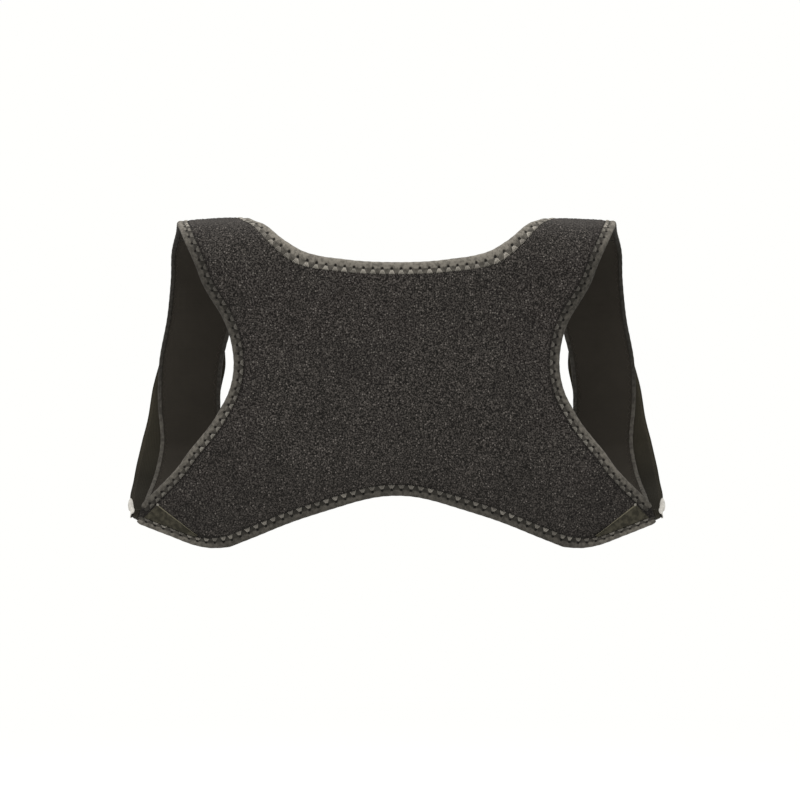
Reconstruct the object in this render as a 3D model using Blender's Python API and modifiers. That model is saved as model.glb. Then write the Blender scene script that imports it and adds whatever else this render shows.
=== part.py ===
"""Posture corrector: an X-shaped back panel of pile-faced foam laminate with two shoulder loops.

Run with blender --background --python part.py, or from Blender's text editor.
Metres, +Z up. The wearer faces +Y, so the panel's pile faces -Y and is seen from there.
The origin is the middle of the panel's inner face, where it lies on the upper back.

Everything soft is drawn flat first, as (out, along) points of a pattern: out is the distance
from the centre line, and along is measured up the back, over the shoulder, down the front and
back under the arm. loop_surface bends that pattern into the worn shape.
"""

import bpy
import numpy as np
from mathutils import Vector
from mathutils.geometry import delaunay_2d_cdt

# Panel
WAIST_HALF = 0.1175
WAIST_LEVEL = 0.0115
NECK_LEVEL = 0.0848
HEM_LEVEL = 0.0834
WING_HALF = 0.1885
WING_DROP = 0.1214
WING_WRAP = 0.018

# Loops
BEND_LEVEL = 0.084
ARCH_LEVEL = 0.1141
LOOP_DEPTH = 0.1125
SHOULDER_HALF = 0.1633
STRAP_WIDTH = 0.052

# Cloth and trim
WALL = 0.0035
UNDERARM_WALL = 0.002
CLEARANCE = 0.0005
SEAM_GAP = 0.0003
TAPE_WIDTH = 0.008
WING_TAPE_WIDTH = 0.0045
TAPE_THICK = 0.0007
TAPE_ROLL = 0.0006
TAPE_GROWTH = 0.030
PATCH_RISE = 0.013
PATCH_RUN = 0.038
PATCH_TIP = 0.0025
PATCH_THICK = 0.0012
TAG_LENGTH = 0.022
TAG_WIDTH = 0.004
TAG_THICK = 0.0006

# Fineness of the surfaces
FLAT_STEP = 0.015
BEND_STEP = 0.006
BEND_ACROSS = 0.011
EDGE_STEP = 0.010
STRAP_STEP = 0.0095
TURN_STEP = 0.003
STRAP_COLUMNS = 4
PATCH_ROWS = 6
PATCH_COLUMNS = 3
TAG_ROWS = 5
MARGIN_SHARE = 0.5
CLOSE_SHARE = 0.9
SHARP_ANGLE = 0.9

EDGE_BUILD = CLEARANCE + TAPE_ROLL + TAPE_THICK
UNDERARM_LIFT = WALL + 2 * CLEARANCE + TAPE_THICK

# The loop's line, from the flat of the back to the end that turns up behind the wing.
# depth: share of LOOP_DEPTH. rise: share of ARCH_LEVEL, or of WING_DROP where it is below zero;
# the second row, where the bend starts, takes BEND_LEVEL itself.
# wrap: share of the panel's own curve round the body. tilt: fall for each metre towards the middle.
LOOP_COLUMNS = ("depth", "rise", "wrap", "tilt")
LOOP_ROWS = (
    (0.000, 0.000, 1.00, 0.00),
    (0.000, 0.736, 1.00, 0.00),
    (0.031, 0.863, 1.00, -0.016),
    (0.151, 0.956, 0.85, -0.030),
    (0.427, 1.000, 0.40, -0.035),
    (0.711, 0.947, -0.10, -0.030),
    (0.898, 0.840, -0.30, -0.016),
    (0.982, 0.684, -0.40, 0.00),
    (1.000, 0.438, -0.40, 0.00),
    (0.996, 0.131, -0.40, 0.00),
    (0.991, -0.148, -0.40, 0.05),
    (0.960, -0.362, -0.35, 0.12),
    (0.844, -0.502, -0.20, 0.20),
    (0.649, -0.610, 0.10, 0.28),
    (0.400, -0.692, 0.50, 0.34),
    (0.196, -0.757, 0.85, 0.38),
    (0.110, -0.786, 1.00, 0.397),
    (0.080, -0.772, 1.00, 0.397),
    (0.0755, -0.738, 1.00, 0.397),
)
BEND_ROW = 1
TOP_ROW = 4
FRONT_ROW = 7
STRAP_END_ROW = 15.6
SEAM_SHARE = 0.74

# Outer edge of the shoulder strap. row: row of the loop. reach: share of the way out from
# SHOULDER_HALF to WING_HALF. width: share of STRAP_WIDTH.
STRAP_EDGE = (
    (16, 0.98, 1.00),
    (15, 0.952, 1.00),
    (14, 0.909, 1.00),
    (13, 0.837, 1.01),
    (12, 0.754, 0.99),
    (11, 0.70, 0.94),
    (10, 0.79, 0.92),
    (9, 0.758, 0.94),
    (8, 0.515, 0.98),
    (7, 0.40, 1.00),
    (6, 0.35, 1.01),
    (5, 0.15, 1.01),
    (4, 0.00, 1.046),
)

# Outer edge of the underarm strap. row: row of the loop. reach and width: as above.
UNDERARM_EDGE = (
    (8.7, 0.65, 0.96),
    (9, 0.77, 1.00),
    (9.5, 0.94, 1.00),
    (10.3, 1.09, 0.98),
    (11.2, 1.28, 0.97),
    (12, 1.35, 0.96),
    (13, 1.36, 0.95),
    (14, 1.34, 0.95),
    (15, 1.27, 0.98),
    (16, 1.24, 0.98),
    (17, 1.20, 0.97),
    (18, 1.17, 0.96),
)
TAG_ROW = 14.5

# Armhole between shoulder and wing. flare: share of the way out from WAIST_HALF to
# SHOULDER_HALF or WING_HALF. rise: share of the way from WAIST_LEVEL up the bend, or down to WING_DROP.
ARMHOLE_ROWS = (
    (0.89, 1.44),
    (0.76, 1.20),
    (0.62, 1.00),
    (0.488, 0.79),
    (0.342, 0.63),
    (0.194, 0.48),
    (0.082, 0.32),
    (0.033, 0.20),
    (0.000, 0.00),
    (0.010, -0.065),
    (0.051, -0.151),
    (0.135, -0.242),
    (0.220, -0.318),
    (0.338, -0.398),
    (0.458, -0.474),
    (0.576, -0.561),
    (0.696, -0.631),
    (0.817, -0.694),
    (0.962, -0.770),
)

# Neckline from the shoulder to the centre. out: share of the neck corner's place.
# climb: share of the way from NECK_LEVEL to the top of the arch.
NECKLINE_ROWS = (
    (0.930, 0.56),
    (0.835, 0.34),
    (0.765, 0.23),
    (0.700, 0.165),
    (0.635, 0.120),
    (0.505, 0.062),
    (0.373, 0.035),
    (0.241, 0.012),
    (0.109, 0.002),
    (0.000, 0.000),
)

# Wing end and bottom edge, from the wing's tip to the centre. out: share of WING_HALF.
# drop: share of the way from HEM_LEVEL down to WING_DROP.
HEM_ROWS = (
    (1.000, 0.540),
    (0.877, 0.770),
    (0.754, 0.975),
    (0.715, 1.003),
    (0.676, 1.000),
    (0.638, 0.978),
    (0.599, 0.904),
    (0.522, 0.751),
    (0.446, 0.594),
    (0.369, 0.450),
    (0.292, 0.326),
    (0.216, 0.208),
    (0.140, 0.096),
    (0.063, 0.019),
    (0.000, 0.000),
)

SIDES = (("left", -1.0), ("right", 1.0))


def clear_scene():
    for item in list(bpy.data.objects):
        bpy.data.objects.remove(item, do_unlink=True)


def slopes_of(knots, values):
    """Slopes that keep a curve from swinging past its own points."""
    steps = np.diff(knots)
    rates = np.diff(values) / steps
    slopes = np.empty_like(values)
    slopes[0] = rates[0]
    slopes[-1] = rates[-1]
    for i in range(1, len(values) - 1):
        if rates[i - 1] * rates[i] <= 0.0:
            slopes[i] = 0.0
        else:
            before = 2 * steps[i] + steps[i - 1]
            after = steps[i] + 2 * steps[i - 1]
            slopes[i] = (before + after) / (before / rates[i - 1] + after / rates[i])
    return slopes


def hermite(knots, values, slopes, at):
    """A smooth curve through values at knots, read at any place."""
    at = np.asarray(at, float)
    cell = np.clip(np.searchsorted(knots, at, side="right") - 1, 0, len(knots) - 2)
    span = knots[cell + 1] - knots[cell]
    t = (at - knots[cell]) / span
    inside = (
        (2 * t**3 - 3 * t**2 + 1) * values[cell]
        + (t**3 - 2 * t**2 + t) * span * slopes[cell]
        + (3 * t**2 - 2 * t**3) * values[cell + 1]
        + (t**3 - t**2) * span * slopes[cell + 1]
    )
    before = values[0] + slopes[0] * (at - knots[0])
    after = values[-1] + slopes[-1] * (at - knots[-1])
    return np.where(at < knots[0], before, np.where(at > knots[-1], after, inside))


def steady(knots, values, at):
    values = np.asarray(values, float)
    return hermite(knots, values, slopes_of(knots, values), at)


def loop_table():
    """The loop's columns in metres, and how far along the pattern each row lies."""
    table = {name: np.array([row[i] for row in LOOP_ROWS]) for i, name in enumerate(LOOP_COLUMNS)}
    table["depth"] = table["depth"] * LOOP_DEPTH
    rise = table["rise"]
    table["level"] = np.where(rise > 0, rise * ARCH_LEVEL, rise * WING_DROP)
    table["level"][BEND_ROW] = BEND_LEVEL
    steps = np.hypot(np.diff(table["depth"]), np.diff(table["level"]))
    along = np.concatenate([[0.0], np.cumsum(steps)])
    table["along"] = along - along[BEND_ROW] + BEND_LEVEL
    return table


LOOP = loop_table()


def along_at(row):
    """How far along the pattern a row of the loop, or a place between two rows, lies."""
    return float(np.interp(row, np.arange(len(LOOP_ROWS)), LOOP["along"]))


def loop_middle(out, along):
    """The inner face of the cloth, before any thickness."""
    knots = LOOP["along"]
    depth = steady(knots, LOOP["depth"], along)
    level = steady(knots, LOOP["level"], along)
    wrap = steady(knots, LOOP["wrap"], along)
    tilt = steady(knots, LOOP["tilt"], along)
    y = depth + wrap * WING_WRAP * (out / WING_HALF) ** 2
    z = level - tilt * (WING_HALF - out)
    return np.stack([out, y, z], axis=-1)


def loop_surface(out, along, lift=0.0):
    """Points of the pattern in their worn place, lifted off the inner face by lift."""
    out = np.asarray(out, float)
    along = np.asarray(along, float)
    small = 1e-4
    across = loop_middle(out + small, along) - loop_middle(out - small, along)
    onward = loop_middle(out, along + small) - loop_middle(out, along - small)
    normal = np.cross(across, onward)
    normal /= np.linalg.norm(normal, axis=-1, keepdims=True)
    return loop_middle(out, along) + normal * np.asarray(lift)[..., None]


def smooth_line(points, fine=0.001):
    """A smooth line through pattern points, as many close points."""
    points = np.asarray(points, float)
    steps = np.linalg.norm(np.diff(points, axis=0), axis=1)
    knots = np.concatenate([[0.0], np.cumsum(steps)])
    rates = np.diff(points, axis=0) / steps[:, None]
    slopes = np.empty_like(points)
    slopes[0] = rates[0]
    slopes[-1] = rates[-1]
    weights = steps[1:] / (steps[:-1] + steps[1:])
    slopes[1:-1] = rates[:-1] * weights[:, None] + rates[1:] * (1 - weights)[:, None]
    at = np.linspace(0.0, knots[-1], int(knots[-1] / fine) + 2)
    columns = [hermite(knots, points[:, i], slopes[:, i], at) for i in (0, 1)]
    return np.stack(columns, axis=-1)


def evenly(line, step):
    """The line again, with its points about one step apart."""
    lengths = np.linalg.norm(np.diff(line, axis=0), axis=1)
    travelled = np.concatenate([[0.0], np.cumsum(lengths)])
    count = max(2, int(round(travelled[-1] / step)) + 1)
    at = np.linspace(0.0, travelled[-1], count)
    return np.stack([np.interp(at, travelled, line[:, i]) for i in (0, 1)], axis=-1)


def inward_of(line, turn):
    """Unit directions across a line, into the cloth: turn is 1 to its left and -1 to its right."""
    tangent = np.gradient(line, axis=0)
    tangent /= np.linalg.norm(tangent, axis=1, keepdims=True)
    return turn * np.stack([-tangent[:, 1], tangent[:, 0]], axis=-1)


def strap_edges(rows):
    """Finished outer and inner edges of a strap, in the order of its rows."""
    outer = []
    inner = []
    for row, reach, width in rows:
        out = SHOULDER_HALF + reach * (WING_HALF - SHOULDER_HALF)
        outer.append((out, along_at(row)))
        inner.append((out - width * STRAP_WIDTH, along_at(row)))
    return outer, inner


def side_line():
    """Finished outer edge from the strap's end over the shoulder and down the armhole."""
    outer, _ = strap_edges(STRAP_EDGE)
    bend_length = along_at(TOP_ROW) - BEND_LEVEL
    for flare, rise in ARMHOLE_ROWS:
        if rise >= 0:
            out = WAIST_HALF + flare * (SHOULDER_HALF - WAIST_HALF)
            reach = min(rise, 1.0) * (BEND_LEVEL - WAIST_LEVEL)
            along = WAIST_LEVEL + reach + max(rise - 1.0, 0.0) * bend_length
        else:
            out = WAIST_HALF + flare * (WING_HALF - WAIST_HALF)
            along = WAIST_LEVEL + rise * (WAIST_LEVEL + WING_DROP)
        outer.append((out, along))
    return smooth_line(outer)


def neck_line():
    """Finished inner edge from the strap's end to the neck corner and along the neckline."""
    _, inner = strap_edges(STRAP_EDGE)
    corner_out, corner_along = inner[-1]
    for out, climb in NECKLINE_ROWS:
        inner.append((out * corner_out, NECK_LEVEL + climb * (corner_along - NECK_LEVEL)))
    inner.append((-inner[-2][0], inner[-2][1]))
    line = smooth_line(inner)
    return line[line[:, 0] >= 0.0]


def hem_line():
    """Finished lower edge from the wing's tip to the centre."""
    points = [(out * WING_HALF, -HEM_LEVEL - drop * (WING_DROP - HEM_LEVEL)) for out, drop in HEM_ROWS]
    points.append((-points[-2][0], points[-2][1]))
    line = smooth_line(points)
    return line[line[:, 0] >= 0.0]


def seam_along():
    return BEND_LEVEL + SEAM_SHARE * (along_at(FRONT_ROW) - BEND_LEVEL)


def cloth_edge(finished, turn, inset=EDGE_BUILD):
    """The bare cloth's edge inside a finished one, which the folded tape makes larger."""
    return finished + inward_of(finished, turn) * inset


def split_at_seam(line):
    """The strap's and the panel's share of an edge that crosses the seam."""
    seam = seam_along()
    first = int(np.argmax(line[:, 1] <= seam))
    crossing = np.array([np.interp(seam, line[[first, first - 1], 1], line[[first, first - 1], 0]), seam])
    return line[:first], np.vstack([crossing, line[first:]])


def make_edges():
    """Cloth edges, at the spacing that the cloth and its tape share."""
    side_strap, side_panel = split_at_seam(cloth_edge(side_line(), -1))
    neck_strap, neck_panel = split_at_seam(cloth_edge(neck_line(), 1))
    hem = evenly(cloth_edge(hem_line(), -1), EDGE_STEP)
    hem[-1, 0] = 0.0
    side_panel = spaced_over_bend(side_panel)
    neck_panel = spaced_over_bend(neck_panel)
    neck_panel[-1, 0] = 0.0
    return {
        "side_strap": side_strap,
        "side_panel": side_panel,
        "neck_strap": neck_strap,
        "neck_panel": neck_panel,
        "hem": hem,
    }


def spaced_over_bend(line):
    """Even points, closer together where the cloth bends over the shoulder."""
    split = int(np.argmax(line[:, 1] <= BEND_LEVEL + BEND_STEP))
    if split < 2:
        return evenly(line, BEND_STEP)
    bent = evenly(line[: split + 1], BEND_STEP)
    flat = evenly(line[split:], EDGE_STEP)
    return np.vstack([bent, flat[1:]])


def strap_levels(end_row, start):
    """Places along the pattern of a strap's cross rows, from its end back to its start.

    Both straps share the places that they pass together, so that their faces lie parallel.
    """
    shared_end = along_at(STRAP_END_ROW)
    shared_start = seam_along() + SEAM_GAP
    count = int(round((shared_end - shared_start) / STRAP_STEP)) + 1
    shared = np.linspace(shared_end, shared_start, count)
    end = along_at(end_row)
    turn = np.arange(shared_end + TURN_STEP, end + TURN_STEP / 2, TURN_STEP)
    levels = np.concatenate([turn[::-1], shared])
    return levels[levels >= start - STRAP_STEP / 2]


def edge_at(line, levels):
    """Points of an edge at the given places along the pattern."""
    order = np.argsort(line[:, 1])
    return np.stack([np.interp(levels, line[order, 1], line[order, 0]), levels], axis=-1)


def inside(polygon, points):
    """Which points lie inside a closed outline."""
    result = np.zeros(len(points), bool)
    ends = np.roll(polygon, -1, axis=0)
    for (x0, y0), (x1, y1) in zip(polygon, ends):
        crosses = (y0 > points[:, 1]) != (y1 > points[:, 1])
        if y1 != y0:
            reach = x0 + (points[:, 1] - y0) * (x1 - x0) / (y1 - y0)
            result ^= crosses & (points[:, 0] < reach)
    return result


def distance_to(polygon, points):
    """Distance from each point to the nearest stretch of a closed outline."""
    nearest = np.full(len(points), 1e9)
    ends = np.roll(polygon, -1, axis=0)
    for start, end in zip(polygon, ends):
        run = end - start
        share = np.clip(((points - start) @ run) / max(run @ run, 1e-12), 0, 1)
        nearest = np.minimum(nearest, np.linalg.norm(points - (start + share[:, None] * run), axis=1))
    return nearest


def panel_levels():
    """Heights of the panel's inner points: wide steps on the flat, close ones over the bend."""
    flat = np.arange(-WING_DROP + FLAT_STEP / 2, BEND_LEVEL, FLAT_STEP)
    bent = np.arange(flat[-1] + BEND_STEP, seam_along() - BEND_STEP / 2, BEND_STEP)
    return flat, bent


def half_panel(edges):
    """The right half of the panel's pattern, cut into triangles."""
    hem_start = edges["hem"][:1]
    tip = edges["side_panel"][-1:]
    seam = np.linspace(edges["neck_panel"][0], edges["side_panel"][0], STRAP_COLUMNS + 1)[1:-1]
    neck = edges["neck_panel"][::-1]
    centre_top = edges["neck_panel"][-1]
    centre_low = edges["hem"][-1]
    flat, bent = panel_levels()
    middle = flat[(flat > centre_low[1] + FLAT_STEP / 2) & (flat < centre_top[1] - FLAT_STEP / 2)]
    centre = np.stack([np.zeros(len(middle)), middle], axis=-1)
    end = (tip + hem_start) / 2
    outline = np.vstack([neck, seam, edges["side_panel"], end, edges["hem"], centre])
    under_tape = np.vstack([
        edges["side_panel"] + inward_of(edges["side_panel"], -1) * TAPE_WIDTH,
        edges["neck_panel"] + inward_of(edges["neck_panel"], 1) * TAPE_WIDTH,
    ])
    under_tape = under_tape[inside(outline, under_tape)]
    points = [under_tape[distance_to(outline, under_tape) > CLOSE_SHARE * TAPE_WIDTH]]
    for levels, step, across in ((flat, FLAT_STEP, FLAT_STEP), (bent, BEND_STEP, BEND_ACROSS)):
        columns = np.arange(across, WING_HALF, across)
        grid = np.array([(out, along) for along in levels for out in columns])
        grid = grid[inside(outline, grid)]
        grid = grid[distance_to(outline, grid) > TAPE_WIDTH + MARGIN_SHARE * step]
        points.append(grid)
    inner = np.vstack(points)
    flat_points = [Vector(point) for point in np.vstack([outline, inner])]
    rim = [(i, (i + 1) % len(outline)) for i in range(len(outline))]
    found = delaunay_2d_cdt(flat_points, rim, [], 1, 1e-6)
    pattern = np.array([tuple(point) for point in found[0]])
    faces = [tuple(face) for face in found[2]]
    return pattern, faces


def grid_faces(rows, columns):
    """Quads over a grid whose points run row by row."""
    faces = []
    for i in range(rows - 1):
        for j in range(columns - 1):
            low = i * columns + j
            faces.append((low, low + 1, low + columns + 1, low + columns))
    return faces


def facing(points, faces, towards):
    """Faces turned so that, taken together, they look along the given directions."""
    first = points[[face[0] for face in faces]]
    second = points[[face[1] for face in faces]]
    third = points[[face[2] for face in faces]]
    normals = np.cross(second - first, third - first)
    if np.sum(normals * towards) < 0:
        return [tuple(reversed(face)) for face in faces]
    return faces


def make_material(name, colour, roughness):
    material = bpy.data.materials.new(name)
    material.use_nodes = True
    shader = material.node_tree.nodes["Principled BSDF"]
    shader.inputs["Base Color"].default_value = (*colour, 1.0)
    shader.inputs["Roughness"].default_value = roughness
    shader.inputs["Metallic"].default_value = 0.0
    material.diffuse_color = (*colour, 1.0)
    return material


def make_sheet(name, points, faces, thickness, material, mirrored=False):
    """An open surface given thickness on the side that it faces."""
    mesh = bpy.data.meshes.new(name)
    mesh.from_pydata([tuple(point) for point in points], [], faces)
    mesh.validate()
    mesh.shade_smooth()
    mesh.set_sharp_from_angle(angle=SHARP_ANGLE)
    mesh.materials.append(material)
    item = bpy.data.objects.new(name, mesh)
    bpy.data.collections["posture_corrector"].objects.link(item)
    if mirrored:
        mirror = item.modifiers.new("Mirror", "MIRROR")
        mirror.use_axis = (True, False, False)
        mirror.use_clip = True
        mirror.merge_threshold = 0.0001
    solidify = item.modifiers.new("Solidify", "SOLIDIFY")
    solidify.thickness = thickness
    solidify.offset = 1.0
    solidify.use_even_offset = True
    solidify.use_rim = True
    return item


def sided(points, faces, side):
    """A right-hand surface, or its mirror image for the left."""
    if side > 0:
        return points, faces
    turned = [tuple(reversed(face)) for face in faces]
    return points * np.array([-1.0, 1.0, 1.0]), turned


def outward_at(pattern, faces):
    """The cloth's outward direction at each face of a pattern."""
    corners = np.array([pattern[list(face)[:3]].mean(axis=0) for face in faces])
    low = loop_surface(corners[:, 0], corners[:, 1])
    high = loop_surface(corners[:, 0], corners[:, 1], WALL)
    return high - low


def make_panel(edges, material):
    pattern, faces = half_panel(edges)
    points = loop_surface(pattern[:, 0], pattern[:, 1])
    faces = facing(points, faces, outward_at(pattern, faces))
    return make_sheet("back_panel", points, faces, WALL, material, mirrored=True)


def strap_pattern(outer, inner):
    """Cross rows of a strap between its two edges."""
    shares = np.linspace(0.0, 1.0, STRAP_COLUMNS + 1)
    return outer[:, None, :] * (1 - shares)[None, :, None] + inner[:, None, :] * shares[None, :, None]


def make_band(name, side, outer, inner, lift, thickness, material):
    pattern = strap_pattern(outer, inner)
    rows = len(outer)
    flat = pattern.reshape(-1, 2)
    points = loop_surface(flat[:, 0], flat[:, 1], lift)
    faces = grid_faces(rows, STRAP_COLUMNS + 1)
    faces = facing(points, faces, outward_at(flat, faces))
    points, faces = sided(points, faces, side)
    return make_sheet(name, points, faces, thickness, material)


def tape_points(edge, inward, widths):
    """Five points for each place along an edge: the folded tape's face towards the cloth."""
    lifts = (
        (widths, WALL + CLEARANCE),
        (0.0, WALL + CLEARANCE),
        (-CLEARANCE - TAPE_ROLL, WALL / 2),
        (0.0, -CLEARANCE),
        (widths, -CLEARANCE),
    )
    columns = []
    for reach, lift in lifts:
        place = edge + inward * np.broadcast_to(np.asarray(reach, float), (len(edge),))[:, None]
        columns.append(loop_surface(place[:, 0], place[:, 1], lift))
    return np.stack(columns, axis=1)


def make_folded(name, side, sections, thickness, material, mirrored=False):
    """Folded tape through its sections, with its thickness on the outside of the fold."""
    rows, columns = sections.shape[:2]
    points = sections.reshape(-1, 3)
    faces = grid_faces(rows, columns)
    centres = np.array([points[list(face)].mean(axis=0) for face in faces])
    middles = np.repeat(sections.mean(axis=1)[:-1], columns - 1, axis=0)
    faces = facing(points, faces, centres - middles)
    points, faces = sided(points, faces, side)
    return make_sheet(name, points, faces, thickness, material, mirrored=mirrored)


def make_tape(name, side, edge, turn, widths, material, mirrored=False):
    inward = inward_of(edge, turn)
    if mirrored:
        inward[-1] = (0.0, np.sign(inward[-1][1]))
    return make_folded(name, side, tape_points(edge, inward, widths), TAPE_THICK, material, mirrored)


def patch_pattern(edges):
    """The wing patch: a triangle inside the tape of the armhole and of the wing end."""
    side_way = edges["side_panel"][-3] - edges["side_panel"][-1]
    side_way /= np.linalg.norm(side_way)
    side_in = np.array([-side_way[1], side_way[0]])
    side_start = edges["side_panel"][-1] + side_in * (TAPE_WIDTH + CLEARANCE)
    bare_end = cloth_edge(hem_line(), -1, EDGE_BUILD + WING_TAPE_WIDTH + CLEARANCE)
    reached = int(np.argmax((bare_end - side_start) @ side_in >= 0.0))
    low_side = bare_end[reached:]
    travelled = np.concatenate([[0.0], np.cumsum(np.linalg.norm(np.diff(low_side, axis=0), axis=1))])
    at = np.linspace(0.0, PATCH_RUN, PATCH_ROWS)
    low = np.stack([np.interp(at, travelled, low_side[:, i]) for i in (0, 1)], axis=-1)
    rise = np.linspace(PATCH_RISE, PATCH_TIP, PATCH_ROWS)
    shares = np.linspace(0.0, 1.0, PATCH_COLUMNS)
    return low[:, None, :] + (rise[:, None] * shares)[:, :, None] * side_way


def make_patch(name, side, edges, material):
    pattern = patch_pattern(edges).reshape(-1, 2)
    points = loop_surface(pattern[:, 0], pattern[:, 1], WALL + SEAM_GAP)
    faces = grid_faces(PATCH_ROWS, PATCH_COLUMNS)
    faces = facing(points, faces, outward_at(pattern, faces))
    points, faces = sided(points, faces, side)
    return make_sheet(name, points, faces, PATCH_THICK, material)


def underarm_edges():
    outer, inner = strap_edges(UNDERARM_EDGE)
    start = along_at(UNDERARM_EDGE[0][0])
    levels = strap_levels(UNDERARM_EDGE[-1][0], start)
    return edge_at(smooth_line(outer), levels), edge_at(smooth_line(inner), levels)


def make_tag(name, side, outer, material):
    """A short folded tab over the underarm strap's outer edge."""
    middle = along_at(TAG_ROW)
    levels = np.linspace(middle - TAG_LENGTH / 2, middle + TAG_LENGTH / 2, TAG_ROWS)
    edge = edge_at(outer, levels)
    under = UNDERARM_LIFT - SEAM_GAP
    over = UNDERARM_LIFT + UNDERARM_WALL + SEAM_GAP
    fold = (
        (TAG_WIDTH, over),
        (0.0, over),
        (-TAG_THICK, (over + under) / 2),
        (0.0, under),
        (TAG_WIDTH, under),
    )
    columns = [loop_surface(edge[:, 0] - reach, edge[:, 1], lift) for reach, lift in fold]
    return make_folded(name, side, np.stack(columns, axis=1), TAG_THICK, material)


def main():
    clear_scene()
    collection = bpy.data.collections.new("posture_corrector")
    bpy.context.scene.collection.children.link(collection)
    pile = make_material("pile_laminate", (0.035, 0.031, 0.028), 0.95)
    lining = make_material("smooth_lining", (0.021, 0.018, 0.015), 0.8)
    knit = make_material("strap_knit", (0.018, 0.018, 0.013), 0.85)
    tape = make_material("grey_tape", (0.10, 0.092, 0.078), 0.85)
    patch = make_material("patch_cloth", (0.045, 0.042, 0.030), 0.8)
    tag = make_material("pale_tag", (0.52, 0.50, 0.46), 0.5)

    edges = make_edges()
    make_panel(edges, pile)

    levels = strap_levels(STRAP_END_ROW, seam_along() + SEAM_GAP)
    outer = edge_at(edges["side_strap"], levels)
    inner = edge_at(edges["neck_strap"], levels)
    side_edge = np.vstack([outer, edges["side_panel"]])
    neck_edge = np.vstack([inner, edges["neck_panel"]])
    under_outer, under_inner = underarm_edges()
    for word, side in SIDES:
        make_band(f"shoulder_strap_{word}", side, outer, inner, 0.0, WALL, lining)
        under_name = f"underarm_strap_{word}"
        make_band(under_name, side, under_outer, under_inner, UNDERARM_LIFT, UNDERARM_WALL, knit)
        make_tape(f"armhole_binding_{word}", side, side_edge, -1, TAPE_WIDTH, tape)
        make_patch(f"corner_patch_{word}", side, edges, patch)
        make_tag(f"edge_tag_{word}", side, under_outer, tag)
    make_tape("neck_binding", 1.0, neck_edge, 1, TAPE_WIDTH, tape, mirrored=True)

    wing_end = np.linalg.norm(edges["hem"] - edges["hem"][0], axis=1)
    share = np.clip((wing_end - PATCH_RUN - 2 * TAPE_WIDTH) / TAPE_GROWTH, 0, 1)
    widths = WING_TAPE_WIDTH + (TAPE_WIDTH - WING_TAPE_WIDTH) * share
    make_tape("lower_binding", 1.0, edges["hem"], -1, widths, tape, mirrored=True)


main()
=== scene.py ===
"""Posture corrector: the finished look of an X-shaped back panel with two shoulder loops.

Every soft piece is drawn flat, as (out, along) points of a pattern, and loop_surface bends that
pattern into the worn shape, as in the solids of the frame. out is the distance from the centre
line, and along runs up the back, over the shoulder, down the front and back under the arm.
The fine cloth, its folded tape and the stitches all take their places from this pattern.
"""

import math
from functools import lru_cache

import bpy
import numpy as np
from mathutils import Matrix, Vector
from mathutils.geometry import delaunay_2d_cdt
from mathutils.kdtree import KDTree


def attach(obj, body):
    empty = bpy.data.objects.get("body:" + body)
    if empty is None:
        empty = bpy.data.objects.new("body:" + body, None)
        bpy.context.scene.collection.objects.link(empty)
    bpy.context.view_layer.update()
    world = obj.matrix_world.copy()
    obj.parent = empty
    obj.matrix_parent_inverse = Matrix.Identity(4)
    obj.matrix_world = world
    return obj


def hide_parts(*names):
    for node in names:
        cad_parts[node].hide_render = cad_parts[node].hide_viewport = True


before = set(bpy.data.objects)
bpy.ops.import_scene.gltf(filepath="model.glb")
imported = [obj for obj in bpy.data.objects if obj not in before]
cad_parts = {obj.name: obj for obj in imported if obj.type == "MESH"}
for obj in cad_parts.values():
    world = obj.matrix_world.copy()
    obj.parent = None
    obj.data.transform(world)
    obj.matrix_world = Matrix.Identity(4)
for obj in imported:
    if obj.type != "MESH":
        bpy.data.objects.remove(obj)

bl_info = {
    "name": "Posture Corrector Finish",
    "version": (1, 0, 0),
    "blender": (4, 5, 0),
    "location": "View3D > Sidebar > Posture Corrector",
    "description": "Builds the pile cloth, folded tape, stitches and straps around the frame",
    "category": "Object",
}

# Panel
WAIST_HALF = 0.1175
WAIST_LEVEL = 0.0115
NECK_LEVEL = 0.0848
HEM_LEVEL = 0.0834
WING_HALF = 0.1885
WING_DROP = 0.1214
WING_WRAP = 0.018

# Loops
BEND_LEVEL = 0.084
ARCH_LEVEL = 0.1141
LOOP_DEPTH = 0.1125
SHOULDER_HALF = 0.1633
STRAP_WIDTH = 0.052

# Cloth
WALL = 0.0035
UNDERARM_WALL = 0.002
UNDERARM_LIFT = 0.0052
EDGE_BUILD = 0.0018
SEAM_GAP = 0.0003

# The loop's line, from the flat of the back to the end that turns up behind the wing.
# depth: share of LOOP_DEPTH. rise: share of ARCH_LEVEL, or of WING_DROP where it is below zero;
# the second row, where the bend starts, takes BEND_LEVEL itself.
# wrap: share of the panel's own curve round the body. tilt: fall for each metre towards the middle.
LOOP_COLUMNS = ("depth", "rise", "wrap", "tilt")
LOOP_ROWS = (
    (0.000, 0.000, 1.00, 0.00),
    (0.000, 0.736, 1.00, 0.00),
    (0.031, 0.863, 1.00, -0.016),
    (0.151, 0.956, 0.85, -0.030),
    (0.427, 1.000, 0.40, -0.035),
    (0.711, 0.947, -0.10, -0.030),
    (0.898, 0.840, -0.30, -0.016),
    (0.982, 0.684, -0.40, 0.00),
    (1.000, 0.438, -0.40, 0.00),
    (0.996, 0.131, -0.40, 0.00),
    (0.991, -0.148, -0.40, 0.05),
    (0.960, -0.362, -0.35, 0.12),
    (0.844, -0.502, -0.20, 0.20),
    (0.649, -0.610, 0.10, 0.28),
    (0.400, -0.692, 0.50, 0.34),
    (0.196, -0.757, 0.85, 0.38),
    (0.110, -0.786, 1.00, 0.397),
    (0.080, -0.772, 1.00, 0.397),
    (0.0755, -0.738, 1.00, 0.397),
)
BEND_ROW = 1
TOP_ROW = 4
FRONT_ROW = 7
STRAP_END_ROW = 15.6
SEAM_SHARE = 0.74
TAG_ROW = 14.5

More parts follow.
